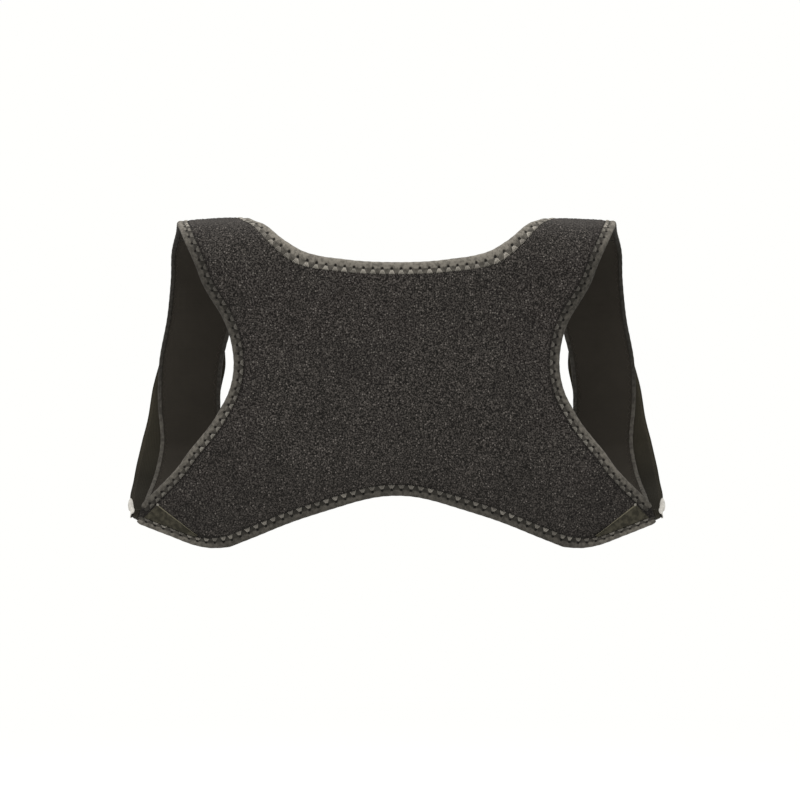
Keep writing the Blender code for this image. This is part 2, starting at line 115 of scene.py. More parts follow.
# Outer edges of the shoulder strap and of the underarm strap. row: row of the loop. reach: share
# of the way out from SHOULDER_HALF to WING_HALF. width: share of STRAP_WIDTH.
STRAP_EDGE = (
    (16, 0.98, 1.00),
    (15, 0.952, 1.00),
    (14, 0.909, 1.00),
    (13, 0.837, 1.01),
    (12, 0.754, 0.99),
    (11, 0.70, 0.94),
    (10, 0.79, 0.92),
    (9, 0.758, 0.94),
    (8, 0.515, 0.98),
    (7, 0.40, 1.00),
    (6, 0.35, 1.01),
    (5, 0.15, 1.01),
    (4, 0.00, 1.046),
)
UNDERARM_EDGE = (
    (8.7, 0.65, 0.915),
    (9, 0.77, 0.98),
    (9.5, 0.94, 1.00),
    (10.3, 1.09, 0.98),
    (11.2, 1.28, 0.97),
    (12, 1.35, 0.96),
    (13, 1.36, 0.95),
    (14, 1.34, 0.95),
    (15, 1.26, 0.98),
    (15.6, 1.21, 0.97),
    (16.2, 1.16, 0.95),
    (17, 1.08, 0.93),
    (18, 1.00, 0.90),
)

# Armhole between shoulder and wing. flare: share of the way out from WAIST_HALF to
# SHOULDER_HALF or WING_HALF. rise: share of the way from WAIST_LEVEL up the bend, or down to WING_DROP.
ARMHOLE_ROWS = (
    (0.89, 1.44),
    (0.76, 1.20),
    (0.62, 1.00),
    (0.488, 0.79),
    (0.342, 0.63),
    (0.194, 0.48),
    (0.082, 0.32),
    (0.033, 0.20),
    (0.000, 0.00),
    (0.010, -0.065),
    (0.051, -0.151),
    (0.135, -0.242),
    (0.220, -0.318),
    (0.338, -0.398),
    (0.458, -0.474),
    (0.576, -0.561),
    (0.696, -0.631),
    (0.817, -0.694),
    (0.962, -0.770),
)

# Neckline from the shoulder to the centre. out: share of the neck corner's place.
# climb: share of the way from NECK_LEVEL to the top of the arch.
NECKLINE_ROWS = (
    (0.930, 0.60),
    (0.835, 0.385),
    (0.765, 0.262),
    (0.700, 0.180),
    (0.635, 0.120),
    (0.505, 0.062),
    (0.373, 0.035),
    (0.241, 0.012),
    (0.109, 0.002),
    (0.000, 0.000),
)

# Wing end and bottom edge, from the wing's tip to the centre. out: share of WING_HALF.
# drop: share of the way from HEM_LEVEL down to WING_DROP.
HEM_ROWS = (
    (1.000, 0.540),
    (0.877, 0.770),
    (0.754, 0.975),
    (0.715, 1.003),
    (0.676, 1.000),
    (0.638, 0.978),
    (0.599, 0.904),
    (0.522, 0.751),
    (0.446, 0.594),
    (0.369, 0.450),
    (0.292, 0.326),
    (0.216, 0.208),
    (0.140, 0.096),
    (0.063, 0.019),
    (0.000, 0.000),
)

# Painted light and shade of the tape along an edge: a place in the pattern, and the tone there.
# The tape is painted lighter where its edge faces the light from above and darker where it faces down.
NECK_TONE = 0.93
NECKLINE_TONE = 0.72
# Painted shade on the body side of the neck tape.
NECK_INSIDE_TONE = 0.16
ARMHOLE_TONES = (
    (-0.088, 0.33),
    (-0.078, 0.42),
    (-0.068, 0.52),
    (-0.050, 0.58),
    (-0.020, 0.48),
    (0.000, 0.37),
    (0.065, 0.21),
    (0.083, 0.24),
    (0.094, 0.34),
    (0.105, 0.56),
    (0.118, 0.86),
    (0.150, 0.74),
)
# Painted shade on the bottom tape, which faces down.
HEM_TONES = ((-0.120, 0.24), (-0.110, 0.28))
HEM_INSIDE_TONE = 0.25
# Painted light on the wing ends, which face up; the bottom tape's threads are painted lighter than the tape.
WING_END_PAINTED_LIGHT = 2.0
HEM_THREAD_GAIN = 2.0

# Slow waves of the soft panel: height in metres, turns by out and by along, and start.
WAVES = (
    (0.00035, 21.0, 63.0, 0.4),
    (0.00030, -47.0, 38.0, 1.9),
    (0.00022, 88.0, 71.0, 3.1),
    (0.00015, 126.0, -104.0, 0.8),
)

# Cloth details
PILE_TUCK = 0.0012
PILE_RISE_RUN = 0.0022
BEND_REACH = 0.045
STRAP_EDGE_RADIUS = 0.0007
STRAP_GROOVE_DEPTH = 0.00035
STRAP_GROOVE_WIDTH = 0.0006
TAPE_GAP = 0.0003
UNDER_FACING = 0.006

# Rows across the tape: shares of its width on the pile from its border, angles round the fold in
# degrees, and shares of its width on the lining.
PILE_SIDE_SHARES = (1.0, 0.965, 0.91, 0.84, 0.76, 0.68, 0.60, 0.52, 0.44, 0.36, 0.27, 0.17, 0.08)
FOLD_ANGLES = (72, 52, 32, 11, -11, -32, -52, -72)
BODY_SIDE_SHARES = (0.1, 0.4, 0.7, 0.93, 1.0)

# Fineness of the meshes
LINE_STEP = 0.001
EDGE_STEP = 0.0005
LINING_COARSENESS = 3
RIM_CLEARANCE = 0.6
THREAD_SIDES = 6
ROUNDED_ROWS = 5
FACING_ROWS = 60
FACING_COLUMNS = 22
TAB_ROWS = 41
TAB_TURNS = 17
FLOOR_SIDES = 96
HEX_ROW = math.sqrt(3) / 2

# Soft lights: size, place and target.
TOP_LIGHT = (0.9, (-0.10, -0.25, 1.15), (0.0, 0.02, 0.0))
FRONT_LIGHT = (1.0, (-0.7, -1.5, 0.6), (0.0, 0.0, 0.0))

SIDES = (("left", -1.0), ("right", 1.0))


def slopes_of(knots, values):
    """Slopes that keep a curve from swinging past its own points."""
    steps = np.diff(knots)
    rates = np.diff(values) / steps
    slopes = np.empty_like(values)
    slopes[0] = rates[0]
    slopes[-1] = rates[-1]
    for i in range(1, len(values) - 1):
        if rates[i - 1] * rates[i] <= 0.0:
            slopes[i] = 0.0
        else:
            before = 2 * steps[i] + steps[i - 1]
            after = steps[i] + 2 * steps[i - 1]
            slopes[i] = (before + after) / (before / rates[i - 1] + after / rates[i])
    return slopes


def hermite(knots, values, slopes, at):
    """A smooth curve through values at knots, read at any place."""
    at = np.asarray(at, float)
    cell = np.clip(np.searchsorted(knots, at, side="right") - 1, 0, len(knots) - 2)
    span = knots[cell + 1] - knots[cell]
    t = (at - knots[cell]) / span
    inside = (
        (2 * t**3 - 3 * t**2 + 1) * values[cell]
        + (t**3 - 2 * t**2 + t) * span * slopes[cell]
        + (3 * t**2 - 2 * t**3) * values[cell + 1]
        + (t**3 - t**2) * span * slopes[cell + 1]
    )
    before = values[0] + slopes[0] * (at - knots[0])
    after = values[-1] + slopes[-1] * (at - knots[-1])
    return np.where(at < knots[0], before, np.where(at > knots[-1], after, inside))


def steady(knots, values, at):
    """A curve through values at knots that never swings past them."""
    values = np.asarray(values, float)
    return hermite(knots, values, slopes_of(knots, values), at)


def loop_table():
    """The loop's columns in metres, and how far along the pattern each row lies."""
    table = {name: np.array([row[i] for row in LOOP_ROWS]) for i, name in enumerate(LOOP_COLUMNS)}
    table["depth"] = table["depth"] * LOOP_DEPTH
    rise = table["rise"]
    table["level"] = np.where(rise > 0, rise * ARCH_LEVEL, rise * WING_DROP)
    table["level"][BEND_ROW] = BEND_LEVEL
    steps = np.hypot(np.diff(table["depth"]), np.diff(table["level"]))
    along = np.concatenate([[0.0], np.cumsum(steps)])
    table["along"] = along - along[BEND_ROW] + BEND_LEVEL
    return table


LOOP = loop_table()


def along_at(row):
    """How far along the pattern a row of the loop, or a place between two rows, lies."""
    return float(np.interp(row, np.arange(len(LOOP_ROWS)), LOOP["along"]))


def loop_middle(out, along):
    """The inner face of the cloth. Left-hand points have out below zero."""
    knots = LOOP["along"]
    depth = steady(knots, LOOP["depth"], along)
    level = steady(knots, LOOP["level"], along)
    wrap = steady(knots, LOOP["wrap"], along)
    tilt = steady(knots, LOOP["tilt"], along)
    y = depth + wrap * WING_WRAP * (out / WING_HALF) ** 2
    z = level - tilt * (WING_HALF - np.abs(out))
    return np.stack([out, y, z], axis=-1)


def loop_surface(out, along, lift=0.0):
    """Points of the pattern in their worn place, lifted off the inner face by lift."""
    out = np.asarray(out, float)
    along = np.asarray(along, float)
    small = 1e-4
    across = loop_middle(out + small, along) - loop_middle(out - small, along)
    onward = loop_middle(out, along + small) - loop_middle(out, along - small)
    normal = np.cross(across, onward)
    normal /= np.linalg.norm(normal, axis=-1, keepdims=True)
    return loop_middle(out, along) + normal * np.asarray(lift)[..., None]


def smooth_line(points):
    """A smooth line through pattern points, as many close points."""
    points = np.asarray(points, float)
    steps = np.linalg.norm(np.diff(points, axis=0), axis=1)
    knots = np.concatenate([[0.0], np.cumsum(steps)])
    rates = np.diff(points, axis=0) / steps[:, None]
    slopes = np.empty_like(points)
    slopes[0] = rates[0]
    slopes[-1] = rates[-1]
    weights = steps[1:] / (steps[:-1] + steps[1:])
    slopes[1:-1] = rates[:-1] * weights[:, None] + rates[1:] * (1 - weights)[:, None]
    at = np.linspace(0.0, knots[-1], int(knots[-1] / LINE_STEP) + 2)
    columns = [hermite(knots, points[:, i], slopes[:, i], at) for i in (0, 1)]
    return np.stack(columns, axis=-1)


def length_along(line):
    """Distance travelled along a line, at each of its points."""
    lengths = np.linalg.norm(np.diff(line, axis=0), axis=1)
    return np.concatenate([[0.0], np.cumsum(lengths)])


def resampled(line, count):
    """The line again as count even points."""
    travelled = length_along(line)
    at = np.linspace(0.0, travelled[-1], count)
    columns = [np.interp(at, travelled, line[:, i]) for i in range(line.shape[1])]
    return np.stack(columns, axis=-1)


def evenly(line, step):
    """The line again, with its points about one step apart."""
    return resampled(line, max(2, int(round(length_along(line)[-1] / step)) + 1))


def inward_of(line, turn):
    """Unit directions across a line, into the cloth: turn is 1 to its left and -1 to its right."""
    tangent = np.gradient(line, axis=0)
    tangent /= np.linalg.norm(tangent, axis=1, keepdims=True)
    return turn * np.stack([-tangent[:, 1], tangent[:, 0]], axis=-1)


def strap_edges(rows):
    """Finished outer and inner edges of a strap, in the order of its rows."""
    outer = []
    inner = []
    for row, reach, width in rows:
        out = SHOULDER_HALF + reach * (WING_HALF - SHOULDER_HALF)
        outer.append((out, along_at(row)))
        inner.append((out - width * STRAP_WIDTH, along_at(row)))
    return outer, inner


def side_line():
    """Finished outer edge from the strap's end over the shoulder and down the armhole."""
    outer, _ = strap_edges(STRAP_EDGE)
    bend_length = along_at(TOP_ROW) - BEND_LEVEL
    for flare, rise in ARMHOLE_ROWS:
        if rise >= 0:
            out = WAIST_HALF + flare * (SHOULDER_HALF - WAIST_HALF)
            reach = min(rise, 1.0) * (BEND_LEVEL - WAIST_LEVEL)
            along = WAIST_LEVEL + reach + max(rise - 1.0, 0.0) * bend_length
        else:
            out = WAIST_HALF + flare * (WING_HALF - WAIST_HALF)
            along = WAIST_LEVEL + rise * (WAIST_LEVEL + WING_DROP)
        outer.append((out, along))
    return smooth_line(outer)


def neck_line():
    """Finished inner edge from the strap's end to the neck corner and along the neckline."""
    _, inner = strap_edges(STRAP_EDGE)
    corner_out, corner_along = inner[-1]
    for out, climb in NECKLINE_ROWS:
        inner.append((out * corner_out, NECK_LEVEL + climb * (corner_along - NECK_LEVEL)))
    inner.append((-inner[-2][0], inner[-2][1]))
    line = smooth_line(inner)
    return line[line[:, 0] >= 0.0]


def hem_line():
    """Finished lower edge from the wing's tip to the centre."""
    points = [(out * WING_HALF, -HEM_LEVEL - drop * (WING_DROP - HEM_LEVEL)) for out, drop in HEM_ROWS]
    points.append((-points[-2][0], points[-2][1]))
    line = smooth_line(points)
    return line[line[:, 0] >= 0.0]


def seam_along():
    """Where the seam between panel and strap lies along the pattern."""
    return BEND_LEVEL + SEAM_SHARE * (along_at(FRONT_ROW) - BEND_LEVEL)


def mirrored(line):
    """A right-hand line on the left, run the other way."""
    return line[::-1] * np.array([-1.0, 1.0])


def both_halves(line):
    """A right-hand line that ends on the centre, carried on to its mirror image."""
    return np.vstack([line[:-1], [[0.0, line[-1, 1]]], mirrored(line[:-1])])


@lru_cache(maxsize=1)
def bare_edges():
    """The bare cloth's right-hand edges. The folded tape makes the finished edges larger."""
    side = side_line()
    side = side + inward_of(side, -1) * EDGE_BUILD
    neck = neck_line()
    neck = neck + inward_of(neck, 1) * EDGE_BUILD
    hem = hem_line()
    hem = hem + inward_of(hem, -1) * EDGE_BUILD
    last = along_at(STRAP_END_ROW)
    return {
        "side": side[np.argmax(side[:, 1] <= last) :],
        "neck": neck[np.argmax(neck[:, 1] <= last) :],
        "hem": hem,
    }


def below_seam(line):
    """The panel's share of an edge that comes down from the strap."""
    seam = seam_along()
    first = int(np.argmax(line[:, 1] <= seam))
    crossing = [np.interp(seam, line[[first, first - 1], 1], line[[first, first - 1], 0]), seam]
    return np.vstack([crossing, line[first:]])


def edge_at(line, levels):
    """Points of a strap's edge at the given places along the pattern."""
    strap = line[line[:, 1] >= along_at(BEND_ROW)]
    order = np.argsort(strap[:, 1])
    return np.stack([np.interp(levels, strap[order, 1], strap[order, 0]), levels], axis=-1)


def smooth_step(low, high, value):
    """0 below low, 1 above high and a smooth turn between them."""
    t = np.clip((np.asarray(value, float) - low) / (high - low), 0.0, 1.0)
    return t * t * (3 - 2 * t)


def bell(value, width):
    """1 at nought, falling smoothly to nothing a few widths away."""
    return np.exp(-((np.asarray(value, float) / width) ** 2))


def ripple(out, along):
    """The slow waves of a soft panel, as a lift off its drawn surface."""
    total = np.zeros(np.broadcast(out, along).shape)
    for height, by_out, by_along, start in WAVES:
        total = total + height * np.sin(by_out * out + by_along * along + start)
    return total


def cloth_half(reach):
    """Half the laminate's thickness at a distance from its bare edge, pinched under the stitches."""
    sizes = bpy.context.scene.posture_cloth
    tape = bpy.context.scene.posture_tape
    open_half = WALL / 2
    edge_half = open_half * sizes.edge_squeeze
    swell = smooth_step(tape.hole_place * 0.6, tape.pile_side_width + sizes.shoulder_of_pile, reach)
    pinch = sizes.stitch_pinch * bell(reach - (tape.hole_place - EDGE_BUILD), tape.stitch_pitch * 0.25)
    return edge_half + (open_half - edge_half) * swell - pinch


def cloth_point(out, along, offset):
    """A point of the laminate: offset is measured outward from the middle of its thickness."""
    return loop_surface(out, along, WALL / 2 + offset + ripple(out, along))


def inside(polygon, points):
    """Which points lie inside a closed outline."""
    result = np.zeros(len(points), bool)
    ends = np.roll(polygon, -1, axis=0)
    for (x0, y0), (x1, y1) in zip(polygon, ends):
        crosses = (y0 > points[:, 1]) != (y1 > points[:, 1])
        if y1 != y0:
            reach = x0 + (points[:, 1] - y0) * (x1 - x0) / (y1 - y0)
            result ^= crosses & (points[:, 0] < reach)
    return result


def distance_to(line, points):
    """Distance from each point to the nearest point of a closely spaced line."""
    tree = KDTree(len(line))
    for i, (out, along) in enumerate(line):
        tree.insert((out, along, 0.0), i)
    tree.balance()
    return np.array([tree.find((out, along, 0.0))[2] for out, along in points])


def cut_cloth(outline, spacing):
    """A pattern filled with even triangles. Its outline's points come first, in their order."""
    low = outline.min(axis=0)
    high = outline.max(axis=0)
    rows = []
    for i, along in enumerate(np.arange(low[1], high[1], spacing * HEX_ROW)):
        outs = np.arange(low[0] + spacing / 2 * (i % 2), high[0], spacing)
        rows.append(np.stack([outs, np.full(len(outs), along)], axis=-1))
    lattice = np.vstack(rows)
    lattice = lattice[inside(outline, lattice)]
    lattice = lattice[distance_to(outline, lattice) > RIM_CLEARANCE * spacing]
    pattern = np.vstack([outline, lattice])
    rim = [(i, (i + 1) % len(outline)) for i in range(len(outline))]
    found = delaunay_2d_cdt([Vector(point) for point in pattern], rim, [], 1, 1e-7)
    source = np.array([origins[0] for origins in found[3]])
    faces = source[np.array(found[2])]
    return pattern, faces


def strip_faces(first, second):
    """Quads between two closed rows of vertices of the same length."""
    return np.stack([first, np.roll(first, -1), np.roll(second, -1), second], axis=-1)


def enclosed(points, faces):
    """Six times the volume that the faces enclose, below zero where they face inward."""
    total = 0.0
    for group in faces:
        origin = points[group[:, 0]]
        for i in range(1, group.shape[1] - 1):
            total += float(np.sum(origin * np.cross(points[group[:, i]], points[group[:, i + 1]])))
    return total


def make_piece(name, points, faces, finishes, pattern, picks=None):
    """A closed mesh from groups of faces. picks holds the finish's place for each group."""
    if enclosed(points, faces) < 0:
        faces = [group[:, ::-1] for group in faces]
    mesh = bpy.data.meshes.new(name)
    mesh.from_pydata(points.tolist(), [], [face for group in faces for face in group.tolist()])
    for coat in finishes:
        mesh.materials.append(coat)
    if picks is not None:
        places = np.concatenate([np.full(len(group), pick) for group, pick in zip(faces, picks)])
        mesh.polygons.foreach_set("material_index", places.astype(np.int32))
    attribute = mesh.attributes.new("pattern", "FLOAT_VECTOR", "POINT")
    attribute.data.foreach_set("vector", np.asarray(pattern, np.float32).ravel())
    mesh.shade_smooth()
    mesh.update()
    piece = bpy.data.objects.new(name, mesh)
    bpy.context.scene.collection.objects.link(piece)
    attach(piece, "root")
    return piece


def taped_edges():
    """Every bare edge of the cloth that carries tape, both sides, for measuring distances."""
    edges = bare_edges()
    right = [evenly(edges[name], EDGE_STEP) for name in ("side", "neck", "hem")]
    return np.vstack(right + [mirrored(line) for line in right])


def pile_lift(reach, seed):
    """How far the loops of the pile stand off the laminate, flattened where the tape lies."""
    sizes = bpy.context.scene.posture_cloth
    tape = bpy.context.scene.posture_tape
    border = tape.pile_side_width - EDGE_BUILD
    freed = smooth_step(border - PILE_TUCK, border + PILE_RISE_RUN, reach)
    rough = np.random.default_rng(seed).normal(0.0, 1.0, len(reach))
    return freed * (sizes.pile_height + sizes.pile_roughness * np.clip(rough, -2.0, 2.0))


def seam_dip(along):
    """The groove at the seam between panel and strap."""
    sizes = bpy.context.scene.posture_cloth
    return sizes.seam_depth * bell(along - seam_along(), sizes.seam_depth * 2.2)


def bend_puckers(out, along):
    """Small cross folds of the lining inside the tight bend over the shoulder."""
    sizes = bpy.context.scene.posture_cloth
    waves = np.sin(along * 2 * math.pi / sizes.pucker_pitch + 1.7 * np.sin(out * 90.0))
    return sizes.pucker_height * bell(along - along_at(TOP_ROW), BEND_REACH) * waves


def panel_outline(spacing):
    """The whole panel's bare outline, from the middle of the neck round and back."""
    edges = bare_edges()
    side = evenly(below_seam(edges["side"]), spacing)
    neck = evenly(below_seam(edges["neck"]), spacing)
    hem = evenly(edges["hem"], spacing)
    seam = evenly(np.stack([neck[0], side[0]]), spacing)[1:-1]
    wing_end = evenly(np.stack([side[-1], hem[0]]), spacing)[1:-1]
    half = np.vstack([neck[::-1], seam, side, wing_end, hem])
    half[0, 0] = 0.0
    half[-1, 0] = 0.0
    return np.vstack([half, mirrored(half)[1:-1]])


def make_panel():
    """The back panel: a fine pile face, a coarser lining face and the bare edge between them."""
    sizes = bpy.context.scene.posture_cloth
    outline = panel_outline(sizes.fineness)
    taped = taped_edges()
    outer, outer_faces = cut_cloth(outline, sizes.fineness)
    inner, inner_faces = cut_cloth(outline, sizes.fineness * LINING_COARSENESS)
    outer_reach = distance_to(taped, outer)
    inner_reach = distance_to(taped, inner)
    outer_lift = cloth_half(outer_reach) + pile_lift(outer_reach, 11) - seam_dip(outer[:, 1])
    inner_lift = -cloth_half(inner_reach) + bend_puckers(inner[:, 0], inner[:, 1])
    points = np.vstack([
        cloth_point(outer[:, 0], outer[:, 1], outer_lift),
        cloth_point(inner[:, 0], inner[:, 1], inner_lift),
    ])
    rim = np.arange(len(outline))
    faces = [outer_faces, inner_faces[:, ::-1] + len(outer), strip_faces(rim, rim + len(outer))]
    pattern = np.vstack([
        np.column_stack([outer, outer_reach]),
        np.column_stack([inner, inner_reach]),
    ])
    finishes = [finish("pile"), finish("lining")]
    piece = make_piece("panel_cloth", points, faces, finishes, pattern, (0, 1, 1))
    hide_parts("back_panel")
    return piece


def grid_of(rows, columns, start=0):
    """Vertex numbers of a grid whose points run row by row."""
    return start + np.arange(rows * columns).reshape(rows, columns)


def grid_faces(grid):
    """Quads between the rows and columns of a grid of vertices."""
    return np.stack([grid[:-1, :-1], grid[:-1, 1:], grid[1:, 1:], grid[1:, :-1]], axis=-1).reshape(-1, 4)


def band_edges(name):
    """Outer and inner edge of a strap, in cross rows one fine step apart."""
    sizes = bpy.context.scene.posture_cloth
    if name == "shoulder":
        edges = bare_edges()
        levels = np.arange(seam_along() + SEAM_GAP, along_at(STRAP_END_ROW), sizes.strap_fineness)
        return edge_at(edges["side"], levels), edge_at(edges["neck"], levels)
    outer, inner = strap_edges(UNDERARM_EDGE)
    start = along_at(UNDERARM_EDGE[0][0])
    end = along_at(UNDERARM_EDGE[-1][0])
    levels = np.arange(start, end, sizes.strap_fineness)
    return edge_at(smooth_line(outer), levels), edge_at(smooth_line(inner), levels)


def band_rows(name, side):
    """A strap's pattern in cross rows: out on its own side, along, reach from its edges, and width."""
    outer, inner = band_edges(name)
    step = bpy.context.scene.posture_cloth.strap_fineness
    count = int(round(np.linalg.norm(outer - inner, axis=1).max() / step)) + 1
    shares = np.linspace(0.0, 1.0, count)
    out = outer[:, :1] * (1 - shares) + inner[:, :1] * shares
    along = outer[:, 1:] * (1 - shares) + inner[:, 1:] * shares
    reach = np.minimum(outer[:, :1] - out, out - inner[:, :1])
    return side * out, along, reach, float((outer - inner)[:, 0].mean())


def closed_band(front, back):
    """Points and faces of a band from two grids of points: front face, back face and rims."""
    rows, columns = front.shape[:2]
    points = np.vstack([front.reshape(-1, 3), back.reshape(-1, 3)])
    top = grid_of(rows, columns)
    around = np.concatenate([top[:, 0], top[-1, 1:], top[-2::-1, -1], top[0, -2:0:-1]])
    rims = strip_faces(around + rows * columns, around)
    return points, [grid_faces(top), grid_faces(top)[:, ::-1] + rows * columns, rims]


def make_shoulder_strap(word, side):
    """A shoulder strap: pile outside, smooth lining towards the body."""
    out, along, reach, width = band_rows("shoulder", side)
    lift = pile_lift(reach.ravel(), 21 + int(side)).reshape(reach.shape)
    front = cloth_point(out, along, cloth_half(reach) + lift - seam_dip(along))
    back = cloth_point(out, along, -cloth_half(reach) + bend_puckers(out, along))
    points, faces = closed_band(front, back)
    flat = np.column_stack([out.ravel(), along.ravel(), reach.ravel()])
    finishes = [finish("pile"), finish("lining")]
    name = f"shoulder_strap_cloth_{word}"
    piece = make_piece(name, points, faces, finishes, np.vstack([flat, flat]), (0, 1, 1))
    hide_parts(f"shoulder_strap_{word}")
    length = along[-1, 0] - along[0, 0]
    return piece


def round_corners(along, reach):
    """Draws the underarm strap's edges in from its two ends, so that its four corners are round."""
    sizes = bpy.context.scene.posture_cloth
    middle = (along_at(UNDERARM_EDGE[0][0]) + along_at(UNDERARM_EDGE[-1][0])) / 2
    return middle + (along - middle) * (1 - sizes.corner_share * bell(reach, sizes.corner_width))


def underarm_middle(out, along):
    """Lift of the middle of the underarm strap's thickness, with slow waves of its own."""
    return UNDERARM_LIFT + UNDERARM_WALL / 2 + 0.8 * ripple(out * 1.3, along * 1.2)


def make_underarm_strap(word, side):
    """The thinner outer strap, with a turned and stitched hem along both edges."""
    sizes = bpy.context.scene.posture_cloth
    out, along, reach, width = band_rows("underarm", side)
    along = round_corners(along, reach)
    groove = STRAP_GROOVE_DEPTH * bell(reach - sizes.hem_place, STRAP_GROOVE_WIDTH)
    half = UNDERARM_WALL / 2 * (1 - 0.55 * bell(reach, STRAP_EDGE_RADIUS)) - groove
    middle = underarm_middle(out, along)
    front = loop_surface(out, along, middle + half)
    back = loop_surface(out, along, middle - half)
    points, faces = closed_band(front, back)
    flat = np.column_stack([out.ravel(), along.ravel(), reach.ravel()])
    name = f"underarm_strap_cloth_{word}"
    piece = make_piece(name, points, faces, [finish("knit")], np.vstack([flat, flat]))
    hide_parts(f"underarm_strap_{word}")
    length = along[-1, 0] - along[0, 0]
    return piece


def tape_line(name):
    """The bare edge under a tape and the turn into the cloth: one side, or both halves joined."""
    edges = bare_edges()
    if name == "side":
        return edges["side"], -1
    if name == "neck":
        return both_halves(edges["neck"]), 1
    return both_halves(edges["hem"]), -1


def between(line, rows):
    """Points of a line at places between its rows."""
    rows = np.clip(rows, 0, len(line) - 1)
    whole = np.minimum(rows.astype(int), len(line) - 2)
    part = (rows - whole)[:, None]
    return line[whole] * (1 - part) + line[whole + 1] * part


class TapeRun:
    """A bare edge cut into stitches, with what the tape and its threads need at each row."""

    def __init__(self, name, side=1.0):
        tape = bpy.context.scene.posture_tape
        line, turn = tape_line(name)
        length = length_along(line)[-1]
        pitch = tape.armhole_pitch if name == "side" else tape.stitch_pitch
        self.name = name
        self.stitches = int(round(length / pitch))
        rows = self.stitches * tape.rows_per_stitch + 1
        self.line = resampled(line, rows)
        self.inward = inward_of(self.line, turn)
        self.travelled = np.linspace(0.0, length, rows)
        self.pitch = length / self.stitches
        self.side = side
        widths = {"neck": tape.neck_width, "side": tape.armhole_width, "hem": tape.pile_side_width}
        self.width = np.full(rows, widths[name] - EDGE_BUILD)
        if name == "hem":
            spare = tape.pile_side_width - tape.wing_end_width
            self.width = self.width - spare * (1 - self.widening())

    def widening(self):
        """0 along the wing ends, where the lower tape is narrow, and 1 along the bottom."""
        tape = bpy.context.scene.posture_tape
        from_tip = np.minimum(self.travelled, self.travelled[-1] - self.travelled)
        return smooth_step(tape.wing_end_run, tape.wing_end_run + tape.widening_run, from_tip)

    def phase(self):
        """Distance from the nearest hole at each row."""
        turns = self.travelled / self.pitch
        return np.abs(turns - np.round(turns)) * self.pitch

    def holes(self):
        """Distance of the holes from the bare edge at each row."""
        tape = bpy.context.scene.posture_tape
        whole = tape.pile_side_width - EDGE_BUILD
        return self.width * (tape.hole_place - EDGE_BUILD) / whole

    def place(self, rows, reach):
        """Pattern points at places between rows of the run, a distance in from the bare edge."""
        at = between(self.line, rows) + between(self.inward, rows) * reach[:, None]
        return at[:, 0] * self.side, at[:, 1]


def painted_tape_light(name, along, level):
    """How light the tape is at a place along it: painted light and shade, lighter where it faces up to the
    light and darker where it faces down, on the fronts of the loops and on its body side.
    """
    top = along_at(TOP_ROW)
    if name == "neck":
        tone = np.interp(along, [top, top + 0.03], [NECK_TONE, NECKLINE_TONE])
        inside_tone = NECK_INSIDE_TONE
    elif name == "side":
        low = [along_at(9.2), along_at(10.6)]
        inside_tone = np.interp(along, low, [0.13, 0.36])
        # On the fronts of the loops the tape lies in shade, and takes the painted shade of the inside.
        front = smooth_step(along_at(6), along_at(7), along)
        tone = np.interp(along, *np.transpose(ARMHOLE_TONES)) * (1 - front) + inside_tone * front
    else:
        tone = np.interp(along, *np.transpose(HEM_TONES))
        inside_tone = HEM_INSIDE_TONE
    # The body side of the tape, facing the body, takes painted shade.
    outside = smooth_step(-0.0006, 0.0006, level)
    return tone * outside + inside_tone * (1 - outside)


